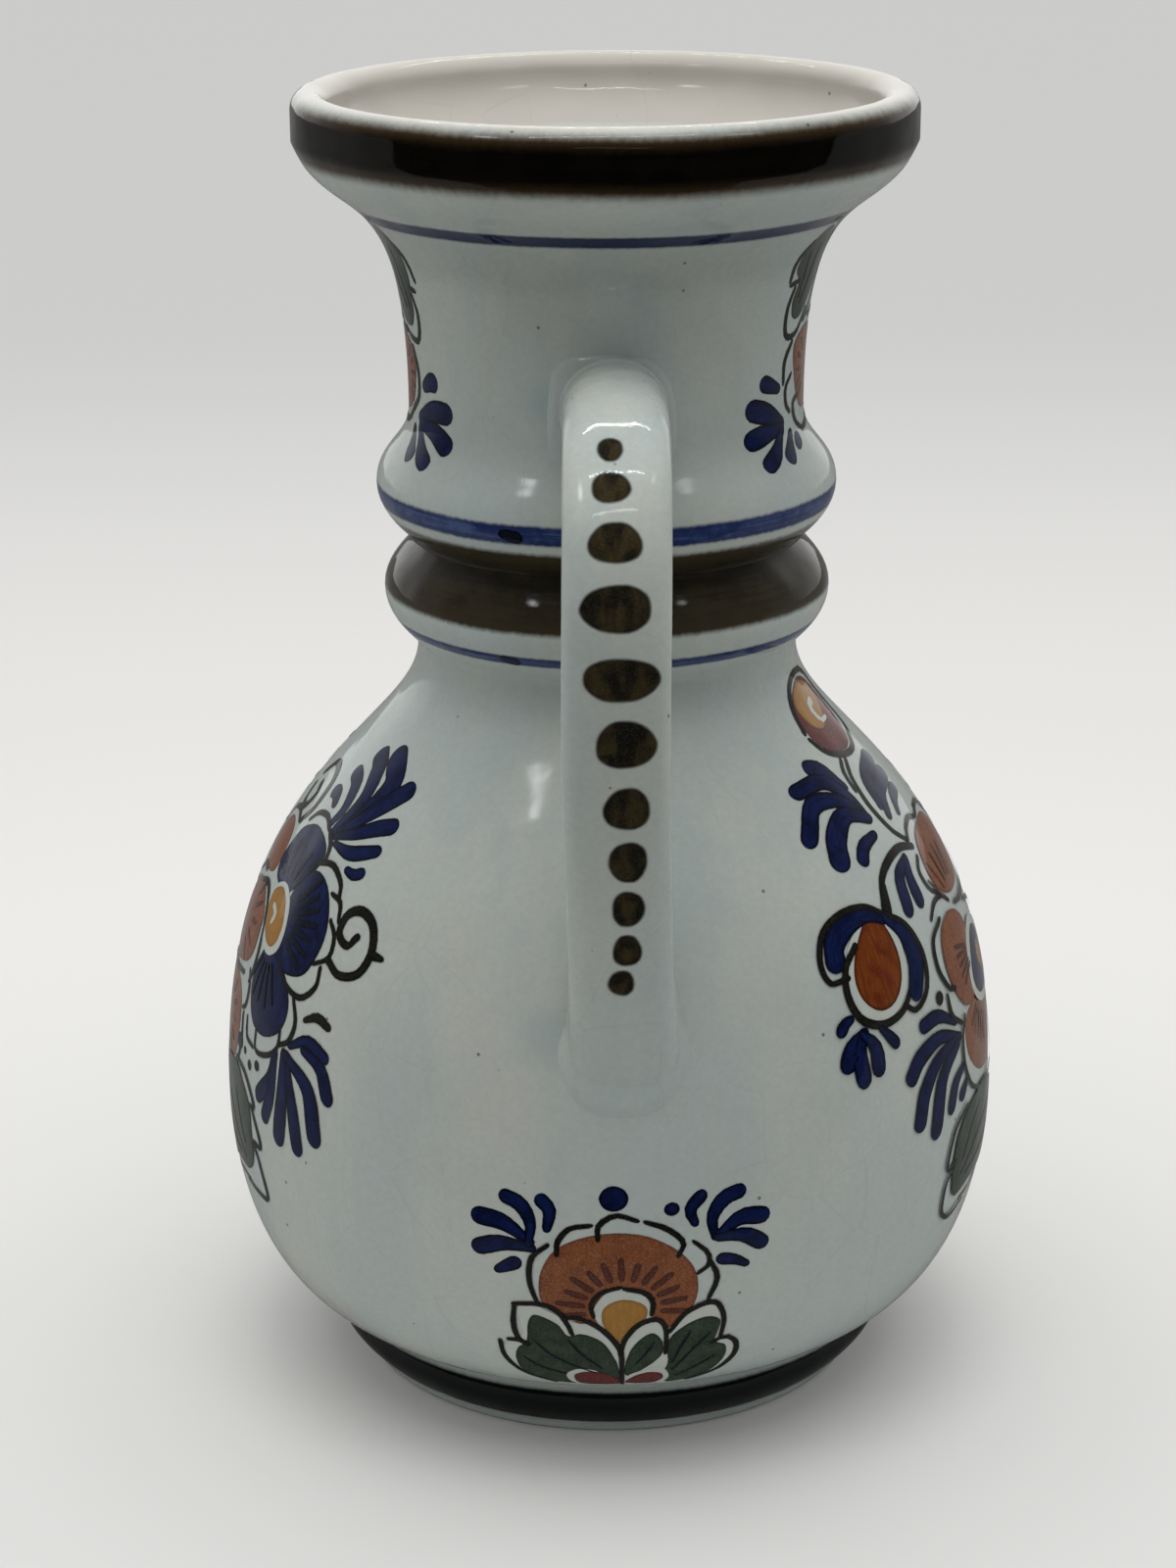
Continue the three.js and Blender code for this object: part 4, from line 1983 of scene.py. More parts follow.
# A green leaf of three lobes, growing up, with a loose outline.
LEAF: tuple[Mark, ...] = (
    green(
        0, 0, 4.2, 1.4, 5.6, 5.2, 4.6, 8.6, 6.2, 11.2, 4.6, 14.2, 2.8, 15.4, 0.4, 20.4, -2.6, 15.6,
        -5.4, 13.8, -5.6, 9.6, -6.6, 6.6, -4.8, 2.4,
    ),
    rule(0.9, -0.8, -1.4, 5.2, -0.2, 7.6, 4, 6.6, 8.2),
    rule(0.9, 5.6, 8.4, 8.4, 10.6, 7.4, 14.6, 4.2, 16.4),
    rule(0.9, 3.6, 15.6, 2.6, 19.2, 0.3, 22.6, -2, 19.6, -3.6, 16),
    rule(0.9, -3.6, 16.4, -7.6, 14.6, -7.4, 9.6, -6.4, 9),
    rule(0.9, -6.6, 9, -8.6, 5.4, -6.2, 1, -0.6, -1.2),
    *leaf_veins(),
)


# A round bud, red below and yellow above, with a pale curl.
BUD: tuple[Mark, ...] = (
    red(0, -7.2, 5.2, -5.6, 8, -0.4, 6.2, 5, 0, 7.2, -6.2, 5, -8, -0.4, -5.2, -5.6),
    yellow(-6.2, 2.6, -4.2, -0.8, 0.2, -1.6, 4.6, 0.4, 6, 3.2, 2.6, 6.2, -2.6, 6.2),
    Stroke(Pigment.BARE, ((5.2, -0.2), (2, -0.8), (0.8, 1.4), (3, 2.6)), 1.2),
    rule(1, 0.2, -8.2, 6.4, -6.4, 9.2, -0.4, 7, 5.8, 0.6, 8.4),
    rule(1, -0.4, 8.4, -7, 5.8, -9.2, -0.4, -6.4, -6.4, -0.4, -8.2),
    drop(2, 0, 11.6, 0, 9.6),
)


def blossom(pigment: Pigment, line_pigment: Pigment, petals: int, reach: float, heart: float) -> list[Mark]:
    """Gives an open flower with heart-shaped petals, hatches and a yellow middle.

    Args:
        pigment: what the petals are filled with.
        line_pigment: what their hatches are drawn with.
        petals: how many petals there are.
        reach: how far the petals reach, in millimetres.
        heart: radius of the yellow middle, in millimetres.

    Returns:
        The marks.
    """
    marks: list[Mark] = []
    outlines: list[Mark] = []
    for index in range(petals):
        turn = 360 * index / petals + 90 / petals
        half = 168 / petals
        size = reach * (1 + 0.05 * math.sin(index * 2.4))

        def polar(angle: float, distance: float) -> Point:
            """Turns an angle and a share of the reach into a place on the board."""
            bearing = math.radians(turn + angle)
            return distance * size * math.cos(bearing), distance * size * math.sin(bearing)

        flank = [(0.62, 0.34), (1, 0.62), (0.82, 0.9), (0.3, 1.0)]
        rim = [(-half * part, distance) for part, distance in flank]
        rim += [(half * part, distance) for part, distance in reversed(flank)]
        rim.append((0, 0.24))
        marks.append(Patch(pigment, tuple(polar(*place) for place in rim)))
        count = max(int(reach * 0.42), 4)
        for step in range(count):
            angle = half * (1.5 * (step + 0.5) / count - 0.75)
            tip = 0.8 - 0.12 * abs(2 * (step + 0.5) / count - 1)
            hatch = tuple(polar(angle, part) for part in (0.42, 0.6, tip))
            marks.append(Stroke(line_pigment, hatch, 0.8, 0.8, 0.5, 0.35))
        gap = 1 + 1.3 / size
        for scallop in (
            ((-1.12, 0.78), (-0.9, gap * 0.96), (-0.4, gap * 1.06), (0.04, gap)),
            ((0.04, gap * 0.97), (0.45, gap * 1.07), (0.92, gap * 0.95), (1.1, 0.8)),
        ):
            outlines.append(outline(0.95, [polar(half * part, distance) for part, distance in scallop]))
    ring = [(math.cos(step * math.tau / 9), math.sin(step * math.tau / 9)) for step in range(9)]
    marks.append(Patch(Pigment.BARE, tuple((x * (heart + 0.9), y * (heart + 0.9)) for x, y in ring)))
    marks.append(Patch(Pigment.YELLOW, tuple((x * heart, y * heart) for x, y in ring)))
    curl = ((-0.35, -0.3), (0.1, -0.4), (0.3, 0.0), (0.0, 0.3), (-0.35, 0.15))
    marks.append(Stroke(Pigment.BARE, tuple((x * heart, y * heart) for x, y in curl), 1.0, 0.8, 0.5))
    return marks + outlines


# The edge of the great bouquet that shows to the left of the handle.
LEFT_BOUQUET: tuple[Mark, ...] = (
    drop(3, -73.2, 119.9, -71.4, 119.7, -69.6, 118.3),
    lobe(3.2, -66, 115.2, -64.9, 119.1, -67, 123.1, -70.6, 124.9),
    lobe(4.2, -63.3, 114.6, -60.8, 122.1, -63.1, 127.3, -66, 129.7),
    lobe(5, -61, 115, -57.2, 120.6, -55.2, 126.3, -59.3, 131.2),
    lobe(4, -61.6, 114.8, -57.3, 118.9, -52.6, 123.4, -49.2, 126.4),
    lobe(3.3, -61.6, 114.2, -56.3, 116.2, -51.7, 118.4, -47.8, 119.8),
    Stroke(Pigment.COBALT, ((-60.6, 113), (-54.6, 112.9), (-48.2, 114.9)), 3, 0.4, 0.8, 0.6),
    drop(2.3, -49.4, 110.4, -51.2, 109.8, -53.2, 110.1),
    blue(
        -77.1, 107.6, -75.8, 111.1, -71.1, 113.4, -66.1, 113.1, -61.9, 111.1, -61.4, 108.1, -65.1, 103.1,
        -67.9, 100.6, -71.1, 100.6, -75.4, 101.6, -77.6, 104.1,
    ),
    blue(
        -65.6, 102.6, -64.2, 106.1, -60, 107.5, -55.4, 105.6, -52.2, 101.1, -51.7, 96.1, -54, 90.8,
        -59.1, 89.1, -63.9, 90.2, -65.7, 95.1,
    ),
    blue(
        -67.4, 91.1, -69.8, 86.1, -69.3, 81.1, -66.5, 77.1, -61.9, 76.6, -57.3, 79.4, -56, 84.1,
        -58.6, 88.6, -63.3, 90.9,
    ),
    bare(
        -73.8, 99.6, -69.8, 102.1, -65.4, 100.3, -63.2, 96.1, -63.4, 91.9, -66.5, 89.8, -70.4, 91.4,
        -73.2, 95.4,
    ),
    yellow(
        -73, 99.4, -69.8, 101.1, -66.4, 99.4, -64.5, 96.1, -64.6, 92.9, -66.7, 91.2, -69.9, 92.5,
        -72.5, 96.1,
    ),
    Stroke(Pigment.BARE, ((-70.4, 97.6), (-68.6, 96.6), (-68.9, 94.9)), 1.1, 0.8, 0.6),
    orange(-74, 95.1, -72.6, 91.5, -72.9, 87.4, -76, 84.6, -84, 83.2, -90, 88, -88, 96, -80, 98.2),
    orange(-73.6, 78.3, -72.9, 72.4, -75.2, 67.2, -82, 64, -89, 67.5, -90, 77.5, -83, 81.2, -77, 81),
    orange(-78.2, 101.2, -78.2, 106.4, -81.4, 109.4, -87, 109.6, -91, 106.4, -91.2, 102.2, -85.6, 99.9),
    rule(1, -80.4, 110.9, -85.4, 111.7, -90.6, 110, -93.6, 105.2),
    rule(1, -93.6, 106.2, -94.2, 101.8, -91.4, 98.4),
    rule(1, -83, 99.6, -88.6, 98.8, -92.6, 93.4, -91.8, 86.8),
    rule(1, -92.2, 87.8, -88.6, 82.4, -81.6, 81.8, -75.2, 82.8),
    rule(1, -87.6, 81.6, -92.2, 79, -92.8, 71.6, -90, 66),
    rule(1, -90.4, 67, -87.6, 63, -84.2, 61.8),
    rule(1, -69.4, 46.2, -75.4, 45.8, -82, 43.4, -86.6, 46.6),
    rule(1, -86.2, 45.8, -88.8, 53.4, -86.8, 60.6, -83.8, 65.8),
    rule(1, -75.3, 113.1, -73, 115.3, -68.8, 115.9, -65.1, 114.4),
    rule(1, -64.4, 114.2, -61.6, 112.4, -60.2, 109.3),
    rule(1, -64, 107.4, -61.2, 109, -57.3, 109.7, -53.3, 107.8, -51.9, 105.6),
    rule(0.9, -54, 105.4, -51, 104.6, -49.7, 101.6),
    rule(0.9, -51.6, 101.2, -49.4, 98.9, -49.2, 95.4, -52.2, 93.3),
    rule(1, -50.4, 93, -50.5, 89.6, -53.6, 86.8, -58, 87.5, -61.4, 90.1),
    rule(1, -55.2, 86.3, -53.5, 82.4, -54.5, 78.8, -56.8, 77.2),
    rule(0.9, -57.2, 80.1, -57.5, 76.3, -60.6, 73.7, -64.4, 73.1, -65, 76.2),
    rule(0.9, -69.3, 77.1, -68.5, 73.9, -65.6, 73.1),
    rule(1, -83.2, 97.6, -78.1, 99, -73.9, 96.9, -71.5, 93.4),
    rule(0.9, -71.2, 92.9, -70.3, 88.6, -70.7, 84.6),
    rule(0.9, -71.9, 84.7, -70.6, 82, -70.8, 78.8, -72.2, 77.6),
    rule(0.9, -71.5, 76.8, -71.1, 71.4, -73.4, 66.4),
    rule(
        1.5, -44.4, 100.2, -46.3, 98.5, -48.6, 100.1, -48.1, 103.3, -45.3, 104.7, -42, 103.2, -40.5, 99.1,
        -41.9, 94.8, -45.7, 93.3, -49.2, 94.9,
    ),
    Stroke(Pigment.BLACK, ((-39.9, 98.3), (-38.2, 98.1)), 1.8, 1, 0.6, 0.3),
    Stroke(Pigment.BLACK, ((-51.2, 83.7), (-48.5, 85), (-45.8, 84.2)), 2, 0.6, 0.8, 0.6),
    lobe(2.6, -54, 78.1, -49.9, 80.3, -45.8, 78.9),
    lobe(3.1, -50.6, 78.5, -46.4, 76.8, -44.4, 72.3),
    lobe(3.3, -58, 75.1, -58.8, 70.2, -62.3, 65.8),
    lobe(3, -57.6, 75.4, -58.3, 68.1, -60.1, 62.8),
    lobe(3.8, -55.4, 76.1, -55.2, 68.1, -55.9, 60.9),
    lobe(3.4, -54.6, 75.8, -52.4, 68.1, -51, 60.9),
    lobe(3.8, -54.6, 76.1, -48.8, 72.1, -46.9, 64.3),
    dot(Pigment.BLACK, -63.5, 70.5, 1),
    dot(Pigment.BLACK, -66.5, 69.3, 1),
    dot(Pigment.BLACK, -68.9, 71, 0.8),
    dot(Pigment.COBALT, -71.6, 71.6, 1.5),
    rule(1.5, -79.5, 111.3, -77.3, 115.1, -78.1, 119.9, -81.2, 122.2, -85.5, 122.4, -88.8, 119),
    rule(1.4, -88.8, 116, -87, 113, -83.6, 112.8, -82, 116, -84.2, 118),
    green(
        -73.9, 67, -69.6, 65.1, -66.3, 61.9, -65.6, 57.1, -65.3, 52.3, -68.4, 48.7, -75, 48, -82, 46,
        -86, 54, -83, 64,
    ),
    rule(0.9, -73.4, 68, -68.2, 67, -64.2, 62.8, -66, 62),
    rule(0.9, -65.2, 62, -61.9, 56.1, -64.9, 55.6),
    rule(0.9, -64.9, 55.3, -62.9, 52.2, -61.4, 46.3, -65.1, 45.5, -69.8, 45.9),
    vein(0.8, -69.4, 50.6, -74.4, 54.6, -79.8, 60.8),
    vein(0.8, -72.4, 50.2, -77.6, 51.8, -82.4, 55.6),
    vein(0.8, -69, 53.6, -71.4, 57.6, -73.4, 62.4),
    *rays(Pigment.VEIN, (-69.5, 97.5), 60, 55, 125, 5, 6.5, 12.5, 1),
    *rays(Pigment.VEIN, (-66, 97), 63, -28, 48, 7, 6, 12.6, 1.1),
    *rays(Pigment.VEIN, (-66, 93), 67, 238, 300, 5, 5, 12, 0.9),
    *rays(Pigment.HATCH, (-84, 91), 66, -40, 50, 5, 6, 10, 0.9),
    *rays(Pigment.HATCH, (-84, 73), 68, -45, 45, 5, 6, 9.5, 0.9),
)


# The edge of the great bouquet that shows to the right of the handle.
RIGHT_BOUQUET: tuple[Mark, ...] = (
    red(
        60.9, 137, 62.8, 132.2, 68, 129.8, 75, 129, 81, 130.8, 84.5, 136, 82, 141.8, 74, 144.2, 66.5, 142.8,
        62.2, 140.2,
    ),
    yellow(63.6, 139.6, 66, 135.8, 71, 134.4, 77.5, 136.6, 81, 140, 77, 143, 70, 143.4, 65.6, 142),
    Stroke(Pigment.BARE, ((76.8, 135.4), (72.6, 135.6), (71.4, 138.4), (74.6, 139.4)), 1.4),
    rule(1.1, 79, 144.9, 71.8, 145.2, 65.8, 143.8, 61.6, 140.4, 60.1, 135.6),
    rule(1.1, 60.4, 134, 63.4, 130.8, 69.9, 128.6, 77, 128.2, 82, 129.8),
    rule(1.1, 68.8, 128, 65.2, 124.6, 63.9, 119.4, 65.6, 113.8, 68.8, 110.4),
    rule(0.9, 66.6, 128.4, 63.8, 126.2, 62.9, 122.6),
    lobe(3.2, 60.3, 124.2, 57.2, 128.5, 53.2, 129.9),
    lobe(3.2, 60.8, 117.4, 59.2, 122.6, 54, 126.8, 44.8, 126.8),
    lobe(3.6, 60.4, 118, 56, 122.4, 47.6, 123.6, 41.7, 118.4),
    lobe(4.6, 60.6, 117.6, 54.4, 119.9, 49, 117.4, 46.4, 113.4),
    drop(3, 52.3, 112, 54.6, 113.8, 59.2, 114.6),
    lobe(3.8, 67.9, 118, 70.4, 122.6, 80.6, 124.6),
    lobe(3.6, 68.4, 115.7, 72.6, 119.8, 80.6, 121),
    lobe(2.6, 73, 114.7, 75.8, 116.9, 80, 117.7),
    rule(1.4, 69.4, 108.9, 64.4, 110.3, 58.8, 109.6, 54.4, 107.4, 51.6, 103),
    Stroke(Pigment.BLACK, ((54, 106.4), (52.9, 103.6), (52.2, 102)), 2.2, 0.6, 0.9),
    lobe(3.2, 64.4, 108.3, 59.6, 106.2, 57.8, 100.8),
    lobe(3.2, 64.4, 108, 62.6, 105, 62.2, 101),
    bare(
        50.8, 102.2, 52.4, 98.2, 51.8, 92, 48.4, 86.6, 43.8, 85.6, 39.6, 88.4, 38.8, 93.2, 40.6, 99,
        45.2, 102.2,
    ),
    amber(
        47.8, 103.8, 50.2, 99.8, 51, 95, 50, 90.6, 47.4, 87.6, 44, 87.2, 41.2, 89.5, 40.2, 93.2, 41.4, 97.3,
        44.5, 101.2,
    ),
    Stroke(
        Pigment.COBALT, ((50.3, 101.3), (46.6, 103.2), (42.4, 103.1), (38.8, 101), (37.4, 97.6)), 4.6, 0.4,
        0.9, 0.6,
    ),
    rule(1.1, 50.6, 102.4, 46.8, 104.6, 41.4, 104.8, 36.6, 102.7, 34.5, 98.2, 35.4, 94.4, 38.9, 94.2),
    rule(1.3, 42, 98.9, 38.9, 95.7, 38.2, 91.2, 39.9, 86.9, 44, 84.8, 48.6, 85.6, 51.8, 88.6),
    Stroke(Pigment.COBALT, ((51.2, 101.3), (54.2, 97.8), (54.8, 93), (52.9, 87.9)), 4.8, 0.5, 0.8, 0.5),
    rule(1.1, 51.4, 101.9, 55.6, 98.2, 57.2, 92.6, 55.8, 87.2, 52.2, 84.8, 49.6, 86.2),
    lobe(3.6, 40, 84.6, 37.6, 83, 36.2, 80.4),
    lobe(3.4, 39.6, 84.6, 38.6, 81, 38.8, 77),
    lobe(3.2, 39.6, 84.4, 41.6, 81.8, 41.9, 78),
    drop(2.4, 35.8, 86.1, 36.8, 87.1, 37.8, 87.5),
    drop(2.3, 45.9, 81.1, 44.8, 82.6, 43.5, 84.2),
    dot(Pigment.BLACK, 58.7, 84.2, 1.3),
    lobe(2.8, 62.2, 78.5, 57.4, 81.4, 53, 81.4),
    lobe(3.4, 63.2, 75.4, 57, 77.8, 51.6, 76.6, 48.7, 74),
    lobe(3.6, 62.6, 75.4, 56, 74.4, 51.8, 70.4, 50.1, 65.2),
    lobe(3.8, 62.2, 74.6, 56.6, 70.6, 54.3, 62.2),
    lobe(2.8, 63.6, 69.9, 60.6, 68, 58.9, 64.2),
    drop(2.4, 62.8, 64.8, 64.4, 66.4),
    orange(70.4, 100.4, 70, 105.2, 73.1, 109.4, 79.4, 110.6, 87, 109.4, 90.5, 103, 86, 97.6, 76, 97.2),
    orange(63, 89.2, 65.2, 94, 70.8, 95.6, 76, 92.6, 77, 85.2, 73.4, 79.8, 68, 79, 64.2, 83.2),
    orange(66.2, 76.2, 66.6, 70.2, 71.8, 65.4, 79.1, 64.4, 86, 67.6, 88, 74, 81, 78.6, 71, 78.6),
    bare(71.6, 82, 74.6, 88.6, 80.6, 90.6, 87, 87, 87.6, 79.6, 81, 75.6, 74.4, 77.2),
    blue(73.2, 82, 76, 87.2, 80.6, 88.8, 85.2, 86, 86, 80.6, 81, 77.2, 75.6, 78.2),
    yellow(78.6, 83.4, 80.8, 85.8, 83, 83.6, 81, 80.8),
    rule(1.1, 78.6, 145, 84.6, 142.4, 87, 136.4, 85.6, 131.6, 81.2, 129.4),
    rule(1, 83.4, 112.2, 89.8, 110.8, 93.4, 104.2, 91.2, 98.6),
    rule(1, 91.8, 99.4, 87.6, 95.4, 80.6, 94.6, 75.4, 95.4),
    rule(1, 88.2, 77.8, 90.8, 72.8, 88.4, 66, 83.8, 63),
    rule(1, 84.6, 63.4, 78.4, 61.8, 71.8, 62.6),
    rule(1, 82.6, 93, 88.2, 90.8, 90.4, 84.8, 88.6, 79.2),
    rule(1, 65.8, 43.4, 75.2, 44, 83.6, 47, 87, 52.8),
    rule(1, 86.6, 51.8, 87.2, 58.4, 82, 63),
    rule(0.9, 69.3, 110.2, 71.8, 111.9, 76, 112.6, 79.6, 111.4, 84, 112),
    rule(0.9, 69, 106.9, 66.6, 104.6, 67.3, 101.2, 70.2, 99.2),
    rule(0.9, 63.3, 96.8, 66.8, 98.8, 70.6, 98.6, 73, 96.8),
    rule(1, 66, 95.9, 61.4, 93.6, 60.3, 89, 62.2, 84.8, 64.2, 83.8),
    rule(1, 61.2, 83.6, 61.6, 79.8, 64.6, 77.3),
    rule(0.9, 66, 78, 64.2, 74.6, 64.2, 69.6, 67, 64.6, 72, 62),
    green(69.5, 62.4, 64.8, 61, 61, 57.2, 60, 51.2, 61.6, 46, 68, 46.4, 76, 46.6, 84, 50, 84, 58, 76, 61.8),
    rule(0.9, 64.6, 62.2, 60, 59.2, 57.9, 53, 60.9, 53.2),
    rule(0.9, 60.4, 52.2, 58, 50, 57.9, 44.8, 61, 42.2, 66.2, 43.2),
    vein(0.8, 63.6, 49.6, 70, 53.8, 78.4, 57),
    vein(0.8, 65.8, 48.6, 73, 50, 80.4, 51.8),
    vein(0.8, 63.8, 52.4, 66.8, 56.8, 71.6, 60),
    *rays(Pigment.HATCH, (77, 91), 62, 70, 130, 5, 9, 15, 0.8),
    *rays(Pigment.HATCH, (77, 87), 65, 165, 205, 5, 5, 10.5, 0.8),
    *rays(Pigment.HATCH, (78, 79), 68, 205, 265, 5, 5.5, 10.5, 0.8),
)


# The sprays on the neck that show beside the handle.
NECK_SIDES: tuple[Mark, ...] = (
    lobe(3.9, -67.5, 198.6, -60, 200.3, -52.4, 200.7),
    lobe(3.7, -67, 197.6, -58, 197, -51.4, 195.4),
    lobe(3, -67.4, 196.8, -62.4, 193.4, -57.4, 191.5),
    drop(3.5, -58.8, 205.3, -61, 205, -63.6, 204.2),
    lobe(2.7, -71.8, 196.4, -69.2, 193.6, -66.6, 191.8),
    lobe(3.9, 59.6, 198.2, 53, 200.2, 45.6, 201.6),
    lobe(3.6, 59.4, 197.4, 52, 197.2, 44.6, 196.6),
    lobe(3, 59.6, 197, 54, 193.8, 48.4, 191.9),
    drop(3, 50.6, 205.6, 53.4, 205, 57, 204.2),
    lobe(2.7, 64.6, 196, 61.4, 193.6, 58.8, 192.1),
    drop(2.6, 68.2, 194.4, 66.2, 193.4),
    green(
        -68.6, 232.6, -63.9, 228, -64.1, 222.4, -66, 219.8, -66.2, 216.6, -69.2, 214, -76, 214.2,
        -80, 217.5, -79, 224.5, -74, 230.6,
    ),
    rule(1, -66.2, 230, -62.2, 226.9, -60.6, 222.6),
    rule(1, -66, 220.9, -62.6, 220.6),
    rule(1, -65.2, 219.6, -63.6, 216, -65.2, 212, -70, 211.7, -76.5, 213.1),
    orange(
        -70.2, 208.4, -71.5, 203.2, -74.4, 200.6, -81, 198.6, -90, 199, -97, 203, -97, 209, -88, 212.6,
        -76, 211.6,
    ),
    rule(1, -71.2, 210.2, -68.1, 206.4, -68.4, 202.2, -73.2, 199.4),
    rule(1, -72.4, 200, -80.6, 196.8, -91.4, 197.2, -99.4, 202.2),
    rule(1, -99.2, 201, -100.6, 208.4, -94, 213.6, -83, 214.2),
    rule(1, -67.4, 234.4, -74.8, 232.4, -81.2, 226.2, -82.8, 217.4),
    rule(1, -83, 218.8, -80.6, 213.4, -76, 212.6),
    vein(0.7, -69, 217.4, -71.6, 222.4, -70.4, 228.6),
    vein(0.7, -72, 217, -75.6, 220.6, -75.8, 225.8),
    green(
        65.6, 232.6, 60.2, 228.8, 58.3, 224.6, 61.8, 221.8, 60.6, 218.6, 62.1, 215.9, 66.2, 215.3, 71, 217,
        76.5, 221.5, 73.5, 229,
    ),
    rule(1, 60.8, 229.6, 56.8, 226.2, 56.5, 222.7),
    rule(0.9, 57.4, 221.8, 61.8, 222.2),
    rule(1, 60.2, 221, 58.3, 217, 59.6, 212.9, 66.2, 212.8, 72.4, 216.4),
    orange(
        66.2, 210.6, 68.4, 204.6, 72.6, 200.4, 79, 198.6, 88, 199.6, 94, 204, 92, 210, 83, 212.8, 73.6, 213,
    ),
    rule(1, 64, 234.4, 71.8, 232.4, 77.2, 227, 79.2, 220.6),
    rule(1, 79.4, 221.8, 76.2, 216.6, 72, 214.4),
    rule(1, 74.6, 195.4, 84.2, 196.2, 93.2, 199.2, 97.2, 204.8),
    rule(1, 97.2, 203.6, 96, 210.4, 88.4, 214.6, 77, 214.8),
    vein(0.7, 65.6, 218, 68.8, 222.4, 68.2, 228.4),
    vein(0.7, 64.2, 219.2, 64.6, 223.6, 62.8, 227.4),
    rule(1, 64.2, 211.4, 60.4, 208.6, 60.2, 204.8),
    rule(0.9, 65.2, 205.8, 61.8, 203.8, 62.4, 201, 65, 199.5),
    rule(1, 71, 201.6, 67.6, 200.4, 70, 197.2, 75.4, 195.2),
    *rays(Pigment.HATCH, (-82, 205), 34.5, -40, 50, 5, 4, 6.6, 0.7),
    *rays(Pigment.HATCH, (80, 206), 34.5, 130, 230, 5, 4, 6.6, 0.7),
)


def both_sides(*rows: tuple) -> list[Mark]:
    """Draws motifs on the front, each again past the middle line, mirrored.

    Args:
        rows: for each motif its azimuth in degrees, its arc in millimetres, its turn, its scale
            and its marks, and then the mirrored one's arc where that differs.

    Returns:
        The marks, on the wall.
    """
    marks: list[Mark] = []
    for azimuth, arc, turn, scale, drawing, *far_arc in rows:
        marks += Board(azimuth, arc, turn, scale).draw(drawing)
        if azimuth != FRONT:
            far = far_arc[0] if far_arc else arc
            marks += Board(2 * FRONT - azimuth, far, -turn, scale, True).draw(drawing)
    return marks


def front_bouquet() -> list[Mark]:
    """Gives the great bouquet that faces away from the handle, from flank to flank.

    Returns:
        The marks.
    """
    great = blossom(Pigment.ORANGE, Pigment.HATCH, 6, 19, 5.2)
    small = blossom(Pigment.ORANGE, Pigment.HATCH, 5, 12.5, 3.6)
    open_blue = blossom(Pigment.COBALT, Pigment.VEIN, 5, 14, 4.4)
    return both_sides(
        (FRONT, 62, 0, 1.0, LEAF),
        (156, 60, 24, 1.0, LEAF),
        (126, 48, 12, 0.95, LEAF),
        (98, 48, 4, 0.9, LEAF),
        (FRONT, 97, 0, 1.0, great),
        (139, 85, 20, 1.0, open_blue),
        (108, 88, 10, 1.0, small, 96),
        (FRONT, 131, 0, 0.9, BUD),
        (148, 118, 20, 0.85, BUD),
        (163, 122, 14, 0.8, SPRAY),
        (124, 108, 32, 0.95, SPRAY),
        (168, 62, 165, 0.7, SPRAY),
        (118, 68, 130, 0.8, SPRAY),
        (104, 110, 0, 0.9, SCROLL, 118),
        (150, 136, 10, 0.7, SCROLL),
    )


def neck_flowers() -> list[Mark]:
    """Gives the flowers on the neck: the sprays beside the handle, and their front.

    Returns:
        The marks.
    """
    small = blossom(Pigment.ORANGE, Pigment.HATCH, 5, 8.6, 2.6)
    open_blue = blossom(Pigment.COBALT, Pigment.VEIN, 5, 8.0, 2.5)
    front = both_sides(
        (FRONT, 204, 0, 1.0, small),
        (143, 208, 15, 1.0, open_blue),
        (FRONT, 216, 0, 0.62, LEAF),
        (160, 214, 30, 0.5, LEAF),
        (113, 205, 50, 0.62, SPRAY),
        (163, 197, 150, 0.6, SPRAY),
        (120, 217, 30, 0.5, LEAF),
    )
    return [*NECK_SIDES, *front]


HANDLE_SPOTS = (
    (67.3, 181.5, -1.3, 4.1, 4.4), (72.2, 176.4, -1.35, 6.1, 4.9), (76.6, 168.4, -0.85, 8.3, 5.8),
    (79.3, 158.4, -0.8, 10.7, 6.7), (80.0, 147.3, -0.1, 11.6, 6.3), (79.2, 136.7, 0.6, 9.3, 7.2),
    (77.4, 126.1, 0.8, 7.3, 6.8), (75.0, 116.4, 1.05, 6.1, 6.9), (72.2, 107.5, 1.15, 5.3, 6.3),
    (69.6, 99.8, 1.05, 4.8, 5.6), (68.2, 93.5, 0.15, 4.4, 4.4),
)


def handle_spots(canvas: StrapCanvas) -> list[Mark]:
    """Gives the row of dark spots down the handle, each dabbed on with a flat lower edge.

    Args:
        canvas: the strap's outer face.

    Returns:
        The marks.
    """
    marks: list[Mark] = []
    for index, (radius, height, across, width, length) in enumerate(HANDLE_SPOTS):
        arc = canvas.arc_near(radius, height)
        rim = []
        for step in range(10):
            turn = math.tau * step / 10
            side, along = math.cos(turn), -math.sin(turn)
            flat = 1.1 if along > 0 else 1.25
            wave = 1 + 0.035 * math.sin(3 * turn + index * 1.7)
            side = math.copysign(abs(side) ** 0.9, side)
            rim.append((across + side * width * 0.535 * wave, arc + along * length / 2 * flat * wave))
        marks.append(Patch(Pigment.SPOT, tuple(rim)))
    return marks


PAINTING_TURN = -1.3


# The darker blobs where each blue ring closes on itself.
OVERLAPS: tuple[Mark, ...] = (
    Stroke(Pigment.VEIN, ((-25.5, 182.4), (-22, 182)), 2.4, 0.8, 0.8),
    Stroke(Pigment.COBALT, ((-27.5, 156.2), (-24.5, 155.8)), 2, 0.8, 0.8),
)


